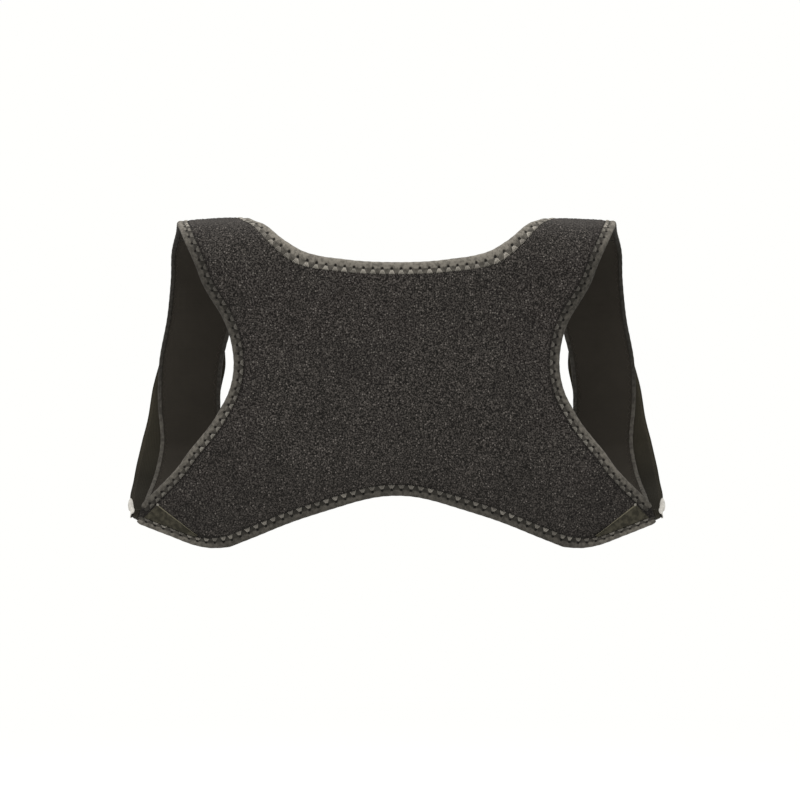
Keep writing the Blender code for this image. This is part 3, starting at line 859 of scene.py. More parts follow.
def make_tape(name, run, stands_for):
    """Tape folded over an edge, puckered by its stitches."""
    tape = bpy.context.scene.posture_tape
    rows = len(run.line)
    whole_width = tape.pile_side_width - EDGE_BUILD
    hole = run.holes()
    phase = run.phase()
    turn = np.cos(2 * math.pi * phase / run.pitch)
    reaches = []
    lifts = []
    levels = []
    for share in PILE_SIDE_SHARES:
        reach = run.width * share + tape.scallop * turn * smooth_step(0.8, 1.0, share)
        lift = cloth_half(reach) + tape.thickness
        lift = lift - tape.hole_depth * bell(np.hypot(reach - hole, phase), tape.hole_radius)
        lift = lift + tape.puff * bell(reach - (hole + run.width) / 2, run.width * 0.22) * turn
        lift = lift - 0.3 * tape.thickness * smooth_step(0.93, 1.0, share)
        reaches.append(reach)
        lifts.append(lift)
        levels.append(reach * whole_width / run.width + EDGE_BUILD)
    nose_start = run.width * PILE_SIDE_SHARES[-1]
    nose_half = cloth_half(nose_start) + tape.thickness
    for angle in np.radians(FOLD_ANGLES):
        gather = tape.gather * turn * math.cos(angle)
        reaches.append(nose_start - (nose_start + EDGE_BUILD) * math.cos(angle) + gather)
        lifts.append(nose_half * math.sin(angle))
        levels.append(np.full(rows, EDGE_BUILD * 0.5 * math.sin(angle)))
    for share in BODY_SIDE_SHARES:
        reach = nose_start + (tape.body_side_width - EDGE_BUILD - nose_start) * share
        lift = -cloth_half(reach) - tape.thickness * (1 - 0.35 * smooth_step(0.9, 1.0, share))
        reaches.append(reach)
        lifts.append(lift)
        levels.append(-reach - EDGE_BUILD)
    depth = 0.8 * tape.thickness
    for column in range(len(reaches) - 1, -1, -2):
        lift = lifts[column]
        reaches.append(np.maximum(reaches[column], -EDGE_BUILD + depth))
        lifts.append(np.sign(lift) * np.maximum(np.abs(lift) - depth, 0.0))
        levels.append(levels[column])
    rings = []
    pattern = []
    tones = []
    for reach, lift, level in zip(reaches, lifts, levels):
        out, along = run.place(np.arange(rows), reach)
        rings.append(cloth_point(out, along, lift))
        pattern.append(np.stack([level, run.travelled, phase], axis=-1))
        tones.append(painted_tape_light(run.name, along, level))
    rings = np.stack(rings, axis=1)
    pattern = np.stack(pattern, axis=1)
    tones = np.stack(tones, axis=1)
    # The wing ends of the bottom tape face up and are painted lighter.
    if run.name == "hem":
        tones = tones * (WING_END_PAINTED_LIGHT + (1 - WING_END_PAINTED_LIGHT) * run.widening())[:, None]
    round_ends(rings, ROUNDED_ROWS)
    points, faces = capped(rings)
    flat = np.vstack([pattern.reshape(-1, 3), pattern[0, :1], pattern[-1, :1]])
    piece = make_piece(name, points, faces, [finish("tape")], flat)
    keep_tones(piece, np.append(tones.ravel(), [tones[0, 0], tones[-1, 0]]))
    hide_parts(stands_for)
    return piece


def cap_faces(ring, centre):
    """A fan of triangles from a ring to its centre."""
    following = np.roll(ring, -1)
    return np.stack([ring, following, np.full(len(ring), centre)], axis=-1)


def looped(grid):
    """A grid of vertices whose first column comes again at its end."""
    return np.column_stack([grid, grid[:, :1]])


def capped(rings):
    """Points and faces of a skin through rings, closed by a centre point in each end."""
    rows, count = rings.shape[:2]
    grid = grid_of(rows, count)
    points = np.vstack([rings.reshape(-1, 3), rings[:1].mean(axis=1), rings[-1:].mean(axis=1)])
    first_cap = cap_faces(grid[0], rows * count)[:, ::-1]
    return points, [grid_faces(looped(grid)), first_cap, cap_faces(grid[-1], rows * count + 1)]


def round_ends(rings, count):
    """Draws the last few cross rows of a tape in, so that its ends are turned and rounded."""
    for i in range(count):
        share = math.sqrt(1 - (1 - (i + 0.6) / count) ** 2)
        for row in (i, len(rings) - 1 - i):
            middle = rings[row].mean(axis=0)
            rings[row] = middle + (rings[row] - middle) * (0.45 + 0.55 * share)


def tube(centres, radius):
    """Rings of points round a line of centres, drawn to a point at both ends."""
    tangent = np.gradient(centres, axis=0)
    tangent /= np.linalg.norm(tangent, axis=1, keepdims=True)
    across = np.cross(tangent, np.array([0.31, 0.52, 0.79]))
    across /= np.linalg.norm(across, axis=1, keepdims=True)
    upward = np.cross(tangent, across)
    angles = (np.arange(THREAD_SIDES) * 2 * math.pi / THREAD_SIDES)[None, :, None]
    radii = np.full(len(centres), radius)
    radii[[0, -1]] = 0.15 * radius
    ring = across[:, None, :] * np.cos(angles) + upward[:, None, :] * np.sin(angles)
    return centres[:, None, :] + ring * radii[:, None, None]


def thread_mesh(strands, radius):
    """Many short strands as one mesh of closed tubes."""
    points = []
    faces = []
    start = 0
    for strand in strands:
        grid = grid_of(len(strand), THREAD_SIDES, start)
        faces += [grid_faces(looped(grid)), grid[:1, ::-1], grid[-1:]]
        points.append(tube(strand, radius).reshape(-1, 3))
        start += grid.size
    return np.vstack(points), faces


def keep_tones(piece, tones):
    """Keeps one number on each point, for the finish to read."""
    attribute = piece.data.attributes.new("tone", "FLOAT", "POINT")
    attribute.data.foreach_set("value", np.asarray(tones, np.float32))


def make_threads(name, strands, radius, thread, tones=None):
    """A row of stitches as one piece. tones holds how light each strand is."""
    points, faces = thread_mesh(strands, radius)
    piece = make_piece(name, points, faces, [finish(thread)], points)
    each = np.ones(len(strands)) if tones is None else tones
    keep_tones(piece, np.repeat(each, len(points) // len(strands)))
    return piece


def fans(run):
    """The threads from each hole to the border of the tape: a small fan under every hole."""
    tape = bpy.context.scene.posture_tape
    shares = np.linspace(0.0, 1.0, 5)
    arch = np.sin(math.pi * shares)
    strands = []
    for stitch in range(1, run.stitches):
        row = stitch * tape.rows_per_stitch
        hole = run.holes()[row] + tape.hole_radius * 0.7
        for spread in np.linspace(-1.0, 1.0, tape.fan_threads):
            border = run.width[row] + tape.scallop - 0.0001
            reach = hole + (border - hole) * shares
            sideways = spread * (tape.hole_radius * 0.5 + tape.fan_spread * shares)
            out, along = run.place((stitch + sideways / run.pitch) * tape.rows_per_stitch, reach)
            lift = cloth_half(reach) + tape.thickness + tape.thread_radius * (arch * 1.3 - 0.5)
            strands.append(cloth_point(out, along, lift))
    return strands


def fan_tones(run):
    """How light each thread of the fans is: the tape's painted light and shade under it, some a little more
    or less.
    """
    tape = bpy.context.scene.posture_tape
    rows = np.arange(1, run.stitches) * tape.rows_per_stitch
    tone = painted_tape_light(run.name, run.line[rows, 1], np.full(len(rows), 1.0))
    uneven = np.random.default_rng(len(rows)).uniform(0.55, 1.25, len(rows))
    # The bottom's threads are painted lighter than the shaded tape under them.
    if run.name == "hem":
        tone = tone * HEM_THREAD_GAIN
    return np.repeat(tone * uneven, tape.fan_threads)


def zigzag(run):
    """The threads on the lining, which go to and fro between two rows of holes."""
    tape = bpy.context.scene.posture_tape
    shares = np.linspace(0.0, 1.0, 6)
    arch = np.sin(math.pi * shares)
    near = tape.body_side_width - EDGE_BUILD + 0.0004
    far = near + tape.inside_stitch
    strands = []
    for leg in range(2 * run.stitches):
        rows = (leg + shares) * tape.rows_per_stitch / 2
        reach = near + (far - near) * (shares if leg % 2 == 0 else 1 - shares)
        out, along = run.place(rows, reach)
        lift = cloth_half(reach) + tape.thread_radius * (arch * 1.3 - 0.6)
        strands.append(cloth_point(out, along, -lift))
    return strands


class Link:
    """One output socket of a finish being made. Arithmetic on links adds Math nodes."""

    def __init__(self, maker, socket):
        self.maker = maker
        self.socket = socket

    def _math(self, operation, first, second):
        return self.maker.add("ShaderNodeMath", {"operation": operation}, {0: first, 1: second})

    def __add__(self, other):
        return self._math("ADD", self, other)

    def __sub__(self, other):
        return self._math("SUBTRACT", self, other)

    def __mul__(self, other):
        return self._math("MULTIPLY", self, other)

    def __truediv__(self, other):
        return self._math("DIVIDE", self, other)

    def __pow__(self, other):
        return self._math("POWER", self, other)

    def __radd__(self, other):
        return self._math("ADD", other, self)

    def __rsub__(self, other):
        return self._math("SUBTRACT", other, self)

    def __rmul__(self, other):
        return self._math("MULTIPLY", other, self)

    def __rtruediv__(self, other):
        return self._math("DIVIDE", other, self)

    def __rpow__(self, other):
        return self._math("POWER", other, self)


class Finish:
    """A material being made, with one method that adds any node."""

    def __init__(self, name):
        self.material = bpy.data.materials.new(name)
        self.material.use_nodes = True
        self.tree = self.material.node_tree
        self.shader = self.tree.nodes["Principled BSDF"]

    def add(self, kind, settings=None, values=None, output=0):
        """A node of any kind: its settings first, then values or links for its sockets."""
        node = self.tree.nodes.new(kind)
        for name, value in (settings or {}).items():
            setattr(node, name, value)
        for place, value in (values or {}).items():
            self.feed(node.inputs[place], value)
        return Link(self, node.outputs[output])

    def feed(self, socket, value):
        """Links a value's own link to a socket, or sets the socket to a plain value."""
        if isinstance(value, Link):
            self.tree.links.new(value.socket, socket)
        else:
            socket.default_value = value

    def place(self):
        return self.add("ShaderNodeTexCoord", output="Object")

    def flat(self):
        """The cloth's own coordinates, kept on its vertices, as three numbers."""
        kept = self.add("ShaderNodeAttribute", {"attribute_name": "pattern"}, output="Vector")
        parts = self.tree.nodes.new("ShaderNodeSeparateXYZ")
        self.feed(parts.inputs[0], kept)
        return [Link(self, output) for output in parts.outputs]

    def kept(self, name):
        """One number kept on the points."""
        return self.add("ShaderNodeAttribute", {"attribute_name": name}, output="Fac")

    def noise(self, scale, detail=2.0, where=None):
        values = {"Vector": where or self.place(), "Scale": scale, "Detail": detail}
        return self.add("ShaderNodeTexNoise", None, values)

    def ramp(self, value, low, high, to_low=0.0, to_high=1.0):
        """A smooth turn from to_low to to_high as value goes from low to high."""
        settings = {"interpolation_type": "SMOOTHSTEP"}
        values = {"Value": value, "From Min": low, "From Max": high, "To Min": to_low, "To Max": to_high}
        return self.add("ShaderNodeMapRange", settings, values)

    def mix(self, factor, first, second):
        """A colour between two colours."""
        settings = {"data_type": "RGBA"}
        return self.add("ShaderNodeMix", settings, {0: factor, 6: first, 7: second}, output=2)

    def wave(self, value, pitch):
        """A wave between 0 and 1 with the given pitch in metres."""
        turned = self.add("ShaderNodeMath", {"operation": "SINE"}, {0: value * (2 * math.pi / pitch)})
        return turned * 0.5 + 0.5

    def bump(self, height, distance, strength=1.0):
        values = {"Height": height, "Distance": distance, "Strength": strength}
        self.feed(self.shader.inputs["Normal"], self.add("ShaderNodeBump", None, values))

    def set(self, **values):
        """Sets the shader's own sockets, whose names are written with underscores."""
        for name, value in values.items():
            self.feed(self.shader.inputs[name.replace("_", " ")], value)


def shade(colour, factor):
    """A colour made lighter or darker, as four numbers."""
    return (*[min(1.0, part * factor) for part in colour[:3]], 1.0)


def pile_finish():
    """Brushed loop pile: a dark ground with many small light loops, painted shade beside the tape and low on
    the wings, and a painted highlight over the bend of the shoulder.
    """
    colour = bpy.context.scene.posture_colours.pile
    tape = bpy.context.scene.posture_tape
    made = Finish("pile_cloth")
    where = made.place()
    _, along, reach = made.flat()
    cells = {"Vector": where, "Scale": 620.0}
    spot = made.add("ShaderNodeTexVoronoi", {"feature": "F1"}, cells)
    tint = made.add("ShaderNodeTexVoronoi", {"feature": "F1"}, cells, output="Color")
    pick = made.add("ShaderNodeSeparateXYZ", None, {0: tint})
    bright = pick * 0.5 + made.ramp(pick, 0.84, 1.0) * 2.6 + 0.2
    loops = made.ramp(spot, 0.60, 0.10) * bright
    fine = made.noise(1050.0, 2.0, where)
    cloud = made.noise(30.0, 2.0, where)
    border = tape.pile_side_width - EDGE_BUILD
    # Painted shade beside the tape's border.
    shade_by_tape = made.ramp(reach, border + 0.0003, border + 0.0016, 0.4, 1.0)
    # Painted shade: darker low on the wings.
    low = made.ramp(along, -0.035, -0.115)
    # Painted highlight over the bend of the shoulder, where the pile is painted smoother and lighter.
    fold = made.ramp(along, 0.104, 0.126) * made.ramp(along, 0.190, 0.140)
    flat = fold * 0.35 + low * 0.3
    grain = loops * 0.46 + made.ramp(fine, 0.44, 0.68) * 0.32
    grain = grain * (1.0 - flat) + fold * 0.09 + low * 0.01
    tone = grain * made.ramp(cloud, 0.3, 0.7, 0.9, 1.08) * shade_by_tape
    made.set(
        Base_Color=made.mix(tone, shade(colour, 0.26), shade(colour, 5.6)),
        Roughness=0.97,
        Specular_IOR_Level=0.06,
        Sheen_Weight=0.03,
        Sheen_Roughness=0.6,
    )
    made.bump(loops * 0.8 + fine * 0.4, 0.0006, 1.0)
    return made.material


def lining_finish():
    """Smooth knitted lining: fine lengthwise ribs, almost even in colour."""
    colour = bpy.context.scene.posture_colours.lining
    made = Finish("lining_cloth")
    out, along, _ = made.flat()
    wales = made.wave(out, 0.0009)
    courses = made.wave(along, 0.0011)
    cloud = made.noise(60.0, 3.0)
    fine = made.noise(900.0, 2.0)
    tone = made.ramp(cloud, 0.3, 0.7, 0.3, 0.6) + fine * 0.25
    made.set(
        Base_Color=made.mix(tone, shade(colour, 0.85), shade(colour, 1.15)),
        Roughness=0.9,
        Specular_IOR_Level=0.1,
        Sheen_Weight=0.02,
    )
    made.bump(wales * 0.6 + courses * 0.4 + fine * 0.3, 0.00018, 0.7)
    return made.material


def knit_finish():
    """The underarm strap's dull brushed knit, with painted shade towards the bottom of the loop."""
    colour = bpy.context.scene.posture_colours.knit
    made = Finish("strap_knit_cloth")
    out, along, reach = made.flat()
    wales = made.wave(out, 0.0012)
    fine = made.noise(1100.0, 2.0)
    cloud = made.noise(50.0, 3.0)
    hem = made.ramp(reach, 0.0034, 0.0024) * 0.35
    # Painted shade: the strap is darker towards the bottom of the loop, where it curves under, and a little
    # lighter above.
    painted_low_shade = made.ramp(along, 0.330, 0.385)
    tone = (cloud * 0.5 + fine * 0.4 + hem + 0.6) * (1.12 - painted_low_shade * 0.56)
    made.set(
        Base_Color=made.mix(tone / 2.5, shade(colour, 0.0), shade(colour, 2.5)),
        Roughness=0.9,
        Specular_IOR_Level=0.1,
        Sheen_Weight=0.02,
    )
    made.bump(wales * 0.5 + fine * 0.6, 0.0002, 0.7)
    return made.material


def tape_finish():
    """Ribbed grey tape, with painted shade in its stitch holes, along its border and from the holes out to
    the border, and the painted light and shade kept on its points.
    """
    colour = bpy.context.scene.posture_colours.tape
    tape = bpy.context.scene.posture_tape
    made = Finish("ribbed_tape")
    across, travelled, phase = made.flat()
    # The painted light and shade kept on the tape's points.
    tone = made.kept("tone")
    ribs = made.wave(travelled, 0.00105)
    fine = made.noise(900.0, 2.0)
    cloud = made.noise(380.0, 3.0)
    off = across - tape.hole_place
    distance = (off * off + phase * phase) ** 0.5
    # Painted shade in the stitch holes.
    hole = made.ramp(distance, tape.hole_radius * 1.3, tape.hole_radius * 0.5)
    # Painted shade along the border, where the tape meets the pile.
    border = made.ramp(across, tape.pile_side_width - 0.0007, tape.pile_side_width - 0.0001)
    # Painted shade over the tape from the holes out to its border.
    valley_shade = made.ramp(across, tape.hole_place - 0.0006, tape.hole_place + 0.0006) * 0.6
    light = ribs * 0.2 + fine * 0.25 + made.ramp(cloud, 0.36, 0.64) * 0.55
    darkened = tone * (1.0 - hole * 0.94) * (1.0 - border * 0.8) * (1.0 - valley_shade)
    made.set(
        Base_Color=made.mix(darkened * (light * 1.1 + 0.4), shade(colour, 0.03), shade(colour, 1.0)),
        Roughness=0.9,
        Specular_IOR_Level=0.1,
        Sheen_Weight=0.03,
    )
    made.bump(ribs * 0.5 + cloud * 0.7 + fine * 0.4 - hole * 1.5, 0.0003, 0.9)
    return made.material


def thread_finish(name, colour):
    """Twisted thread, as light as the tone kept on its points, which on the tape's threads is the tape's
    painted light and shade.
    """
    made = Finish(name)
    fine = made.noise(1600.0, 1.0)
    light = made.kept("tone") * (fine * 0.6 + 0.7)
    made.set(
        Base_Color=made.mix(light, shade(colour, 0.04), shade(colour, 1.0)),
        Roughness=0.8,
        Specular_IOR_Level=0.15,
    )
    made.bump(fine, 0.0001, 0.6)
    return made.material


def patch_finish():
    """Smooth olive-dark facing cloth with a painted highlight along its raised edge."""
    colour = bpy.context.scene.posture_colours.patch
    made = Finish("patch_facing")
    _, _, share = made.flat()
    fine = made.noise(1000.0, 2.0)
    cloud = made.noise(330.0, 3.0)
    # Painted highlight along the rolled long edge, which faces the light from above.
    rolled = made.ramp(share, 0.93, 0.965)
    tone = fine * 0.3 + made.ramp(cloud, 0.34, 0.68) * 0.7
    cloth = made.mix(tone, shade(colour, 0.45), shade(colour, 1.6))
    made.set(
        Base_Color=made.mix(rolled, cloth, shade(colour, 4.4)),
        Roughness=0.85,
        Specular_IOR_Level=0.12,
    )
    made.bump(fine, 0.0002, 0.7)
    return made.material


def tag_finish():
    """Pale coated tab."""
    colour = bpy.context.scene.posture_colours.tag
    made = Finish("pale_tab")
    cloud = made.noise(220.0, 3.0)
    made.set(
        Base_Color=made.mix(made.ramp(cloud, 0.3, 0.7), shade(colour, 0.82), shade(colour, 1.06)),
        Roughness=0.42,
    )
    made.bump(cloud, 0.0002, 0.3)
    return made.material


@lru_cache(maxsize=None)
def finish(name):
    """Each finish is made once and shared by its pieces."""
    colours = bpy.context.scene.posture_colours
    makers = {
        "pile": pile_finish,
        "lining": lining_finish,
        "knit": knit_finish,
        "tape": tape_finish,
        "patch": patch_finish,
        "tag": tag_finish,
        "tape_thread": lambda: thread_finish("tape_thread", colours.thread),
        "dark_thread": lambda: thread_finish("dark_thread", shade(colours.lining, 1.5)),
    }
    return makers[name]()


def patch_pattern():
    """The wing patch: a tapering band inside the tape of the armhole and of the wing end."""
    tape = bpy.context.scene.posture_tape
    patch = bpy.context.scene.posture_patch
    side = bare_edges()["side"]
    side_way = side[-30] - side[-1]
    side_way /= np.linalg.norm(side_way)
    side_in = np.array([-side_way[1], side_way[0]])
    start = side[-1] + side_in * (tape.pile_side_width - EDGE_BUILD + TAPE_GAP)
    hem = hem_line()
    bare = hem + inward_of(hem, -1) * (tape.wing_end_width + TAPE_GAP)
    reached = int(np.argmax((bare - start) @ side_in >= 0.0))
    low_side = bare[reached:]
    travelled = length_along(low_side)
    at = np.linspace(0.0, patch.run, FACING_ROWS)
    low = np.stack([np.interp(at, travelled, low_side[:, i]) for i in (0, 1)], axis=-1)
    rise = np.linspace(patch.rise, patch.tip, FACING_ROWS)
    shares = np.linspace(0.0, 1.0, FACING_COLUMNS)
    return low[:, None, :] + (rise[:, None] * shares)[:, :, None] * side_way


def make_patch(word, side):
    """The three-cornered facing on a wing end, with a raised edge along its long side."""
    patch = bpy.context.scene.posture_patch
    flat = patch_pattern()
    shares = np.linspace(0.0, 1.0, FACING_COLUMNS)[None, :]
    ends = np.linspace(0.0, 1.0, FACING_ROWS)[:, None]
    piping = patch.piping * bell(shares - 0.965, 0.05)
    hump = 0.00025 * np.sin(math.pi * shares) * np.sin(math.pi * ends) ** 0.5
    edge = bell(shares - 1.0, 0.02) + bell(shares, 0.03) + bell(ends, 0.02) + bell(ends - 1.0, 0.02)
    lift = patch.thickness * (1 - 0.6 * np.clip(edge, 0, 1)) + piping + hump
    out = flat[..., 0] * side
    along = flat[..., 1]
    base = cloth_half(np.full(out.shape, UNDER_FACING))
    points, faces = closed_band(cloth_point(out, along, base + lift), cloth_point(out, along, base - 0.0002))
    kept = np.column_stack([out.ravel(), along.ravel(), np.broadcast_to(shares, out.shape).ravel()])
    piece = make_piece(f"corner_facing_{word}", points, faces, [finish("patch")], np.vstack([kept, kept]))
    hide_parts(f"corner_patch_{word}")
    return piece


def bartack(side):
    """A few tight threads that hold the facing's upper corner to the pile."""
    patch = bpy.context.scene.posture_patch
    corner = patch_pattern()[1, -1]
    strands = []
    shares = np.linspace(-1.0, 1.0, 5)
    for step in np.linspace(-1.0, 1.0, 5):
        out = corner[0] + step * 0.0006 + shares * 0.0003
        along = corner[1] + step * 0.0003 - shares * 0.0009
        bow = bpy.context.scene.posture_tape.thread_radius * np.cos(shares * 1.2)
        lift = cloth_half(np.full(5, UNDER_FACING)) + patch.thickness + patch.piping + bow
        strands.append(cloth_point(out * side, along, lift))
    return strands


def make_tag(word, side):
    """The pale tab folded over the outer edge of the underarm strap."""
    sizes = bpy.context.scene.posture_patch
    outer, _ = strap_edges(UNDERARM_EDGE)
    middle = along_at(TAG_ROW) + sizes.tag_drop
    levels = np.linspace(middle - sizes.tag_length / 2, middle + sizes.tag_length / 2, TAB_ROWS)
    edge = edge_at(smooth_line(outer), levels)
    swell = 0.12 + 0.88 * np.sqrt(np.clip(1 - np.linspace(-1, 1, TAB_ROWS) ** 2, 0.0, 1.0))
    middle_lift = underarm_middle(side * edge[:, 0], edge[:, 1])
    width = sizes.tag_width * swell
    rings = []
    turn = np.linspace(-1.0, 1.0, TAB_TURNS)
    for layer in (1, 0):
        thick = UNDERARM_WALL / 2 + sizes.tag_clearance + layer * sizes.tag_thickness
        nose = 2 * sizes.tag_clearance + layer * sizes.tag_thickness
        order = turn if layer else turn[::-1]
        for t in order:
            if abs(t) > 0.5:
                reach = width * (abs(t) - 0.5) * 2
                lift = math.copysign(1.0, t) * thick
            else:
                angle = t * math.pi
                reach = -nose * math.cos(angle) * swell
                lift = math.sin(angle) * thick
            rings.append(loop_surface(side * (edge[:, 0] - reach), edge[:, 1], middle_lift + lift))
    points, faces = capped(np.stack(rings, axis=1))
    piece = make_piece(f"edge_tab_{word}", points, faces, [finish("tag")], np.zeros_like(points))
    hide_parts(f"edge_tag_{word}")
    return piece


def running_stitches(word, side):
    """The straight stitches that hold the underarm strap's turned hems."""
    sizes = bpy.context.scene.posture_cloth
    tape = bpy.context.scene.posture_tape
    outer, inner = band_edges("underarm")
    shares = np.linspace(0.12, 0.88, 5)
    bow = np.array([-1.2, 0.3, 0.6, 0.3, -1.2]) * tape.thread_radius
    strands = []
    for edge, inward in ((outer, -1.0), (inner, 1.0)):
        line = edge + np.array([inward * sizes.hem_place, 0.0])
        count = int(length_along(line)[-1] / sizes.hem_stitch)
        for sign in (1.0, -1.0):
            for i in range(count):
                out, along = between(line, (i + shares) / count * (len(line) - 1)).T
                along = round_corners(along, sizes.hem_place)
                lift = underarm_middle(side * out, along) + sign * (UNDERARM_WALL / 2 - 0.0003 + bow)
                strands.append(loop_surface(side * out, along, lift))
    return strands


def metres(name, description, default):
    """A length that a user may change."""
    return bpy.props.FloatProperty(name=name, description=description, default=default, unit="LENGTH")


def number(name, description, default):
    """A plain number that a user may change."""
    return bpy.props.FloatProperty(name=name, description=description, default=default)


def whole_number(name, description, default):
    """A whole number that a user may change."""
    return bpy.props.IntProperty(name=name, description=description, default=default)


def tint(name, description, default):
    """A colour that a user may change."""
    return bpy.props.FloatVectorProperty(name=name, description=description, subtype="COLOR", default=default)


class ClothSizes(bpy.types.PropertyGroup):
    """Sizes of the pile laminate and of the straps."""

    fineness: metres("Panel fineness", "Distance between the panel's points", 0.00115)
    strap_fineness: metres("Strap fineness", "Distance between a strap's points", 0.0013)
    pile_height: metres("Pile height", "Height of the loops over the laminate", 0.00035)
    pile_roughness: metres("Pile roughness", "How uneven the loops are", 0.00018)
    edge_squeeze: number("Edge squeeze", "Share of its thickness that the edge keeps", 0.8)
    stitch_pinch: metres("Stitch pinch", "How far the stitches pull the faces in", 0.00022)
    shoulder_of_pile: metres("Pile shoulder", "Run from the tape to the full thickness", 0.005)
    seam_depth: metres("Seam depth", "Depth of the groove over the seam", 0.0007)
    pucker_pitch: metres("Pucker pitch", "Distance between folds inside the bend", 0.0075)
    pucker_height: metres("Pucker height", "Height of the folds inside the bend", 0.00025)
    hem_place: metres("Hem place", "Distance of the hem's stitches from the edge", 0.0028)
    corner_share: number("Corner share", "How much shorter the strap's edges are than its middle", 0.03)
    corner_width: metres("Corner width", "Width of a rounded corner", 0.007)
    hem_stitch: metres("Hem stitch", "Length of one stitch of the hem", 0.0034)


class TapeSizes(bpy.types.PropertyGroup):
    """Sizes of the folded tape and of its stitches."""

    pile_side_width: metres("Width on the pile", "From the finished edge to the border", 0.0081)
    body_side_width: metres("Width on the lining", "From the finished edge to the border", 0.003)
    wing_end_width: metres("Width at the wing end", "Width of the lower tape there", 0.0058)
    wing_end_run: metres("Wing end run", "Length of the narrow stretch", 0.040)
    widening_run: metres("Widening run", "Length over which the tape widens", 0.030)
    thickness: metres("Thickness", "Thickness of the tape", 0.0006)
    stitch_pitch: metres("Stitch pitch", "Distance between two holes", 0.0067)
    neck_width: metres("Width at the neck", "Width of the neck's tape", 0.0091)
    armhole_width: metres("Width at the armhole", "Width of the armhole's tape", 0.0076)
    armhole_pitch: metres("Armhole pitch", "Distance between two holes there", 0.0061)
    fan_threads: whole_number("Threads in a fan", "Threads from a hole to the border", 5)
    fan_spread: metres("Fan spread", "Half the width of a fan at the border", 0.0015)
    inside_stitch: metres("Inside stitch", "Width of the zigzag on the lining", 0.0028)
    rows_per_stitch: whole_number("Rows a stitch", "Cross rows of the tape for each stitch", 8)
    hole_place: metres("Hole place", "Distance of the holes from the finished edge", 0.0044)
    hole_radius: metres("Hole radius", "Radius of a stitch hole", 0.0011)
    hole_depth: metres("Hole depth", "Depth of a stitch hole", 0.0006)
    puff: metres("Puff", "Rise of the tape between two notches", 0.00018)
    scallop: metres("Scallop", "Waviness of the tape's border", 0.0003)
    gather: metres("Gather", "Waviness of the fold", 0.00006)
    thread_radius: metres("Thread radius", "Radius of the thread", 0.00022)


class PatchSizes(bpy.types.PropertyGroup):
    """Sizes of the corner facing and of the tab."""

    run: metres("Facing run", "Length along the wing end", 0.0405)
    rise: metres("Facing rise", "Height at the armhole's end", 0.0138)
    tip: metres("Facing tip", "Height at its far end", 0.0018)
    thickness: metres("Facing thickness", "Rise over the laminate", 0.0008)
    bartack_tone: number("Bartack tone", "How light the bartack's thread is", 0.6)
    piping: metres("Piping", "Rise of the rolled long edge", 0.0006)
    tag_length: metres("Tab length", "Length along the strap's edge", 0.027)
    tag_clearance: metres("Tab clearance", "Gap between the tab and the strap's faces", 0.00035)
    tag_drop: metres("Tab drop", "How far the tab sits past its solid's middle", 0.0080)
    tag_width: metres("Tab width", "Reach over the strap", 0.0024)
    tag_thickness: metres("Tab thickness", "Thickness of the tab", 0.0006)


class Colours(bpy.types.PropertyGroup):
    """Colours of the finishes."""

    pile: tint("Pile", "Pile cloth", (0.0295, 0.0262, 0.0235))
    lining: tint("Lining", "Smooth lining", (0.0250, 0.0215, 0.0170))
    knit: tint("Knit", "Underarm strap", (0.0250, 0.0220, 0.0155))
    tape: tint("Tape", "Folded tape", (0.175, 0.160, 0.136))
    thread: tint("Thread", "Thread of the stitches outside", (0.33, 0.305, 0.265))
    patch: tint("Facing", "Corner facing", (0.033, 0.030, 0.021))
    tag: tint("Tab", "Pale tab", (0.46, 0.44, 0.40))
    floor: tint("Floor", "Floor", (0.86, 0.86, 0.85))
    sky: tint("Sky", "Light from all round", (1.0, 1.0, 0.984))


class StageSizes(bpy.types.PropertyGroup):
    """Floor, light and camera."""

    floor_drop: metres("Floor drop", "Depth of the floor under the origin", 0.42)
    floor_radius: metres("Floor radius", "Radius of the floor", 6.0)
    camera_distance: metres("Camera distance", "Distance behind the panel", 1.6)
    camera_right: metres("Camera right", "Distance right of the centre line", 0.00252)
    camera_level: metres("Camera level", "Height of the camera", -0.0144)
    camera_lens: number("Lens", "Focal length in millimetres", 100.0)
    floor_fade: metres("Floor fade", "Radius past which the floor shines like the sky", 1.4)
    sky_strength: number("Sky strength", "Even light from all round", 1.0)
    top_power: number("Top light", "Power of the soft light above, in watts", 12.0)
    front_power: number("Front light", "Power of the soft light near the camera, in watts", 2.0)


def soft_light(name, power, size, place, target):
    """A square soft light that points at its target."""
    light = bpy.data.lights.new(name, "AREA")
    light.shape = "SQUARE"
    light.size = size
    light.energy = power
    item = bpy.data.objects.new(name, light)
    item.location = place
    way = Vector(target) - Vector(place)
    item.rotation_euler = way.to_track_quat("-Z", "Y").to_euler()
    bpy.context.scene.collection.objects.link(item)


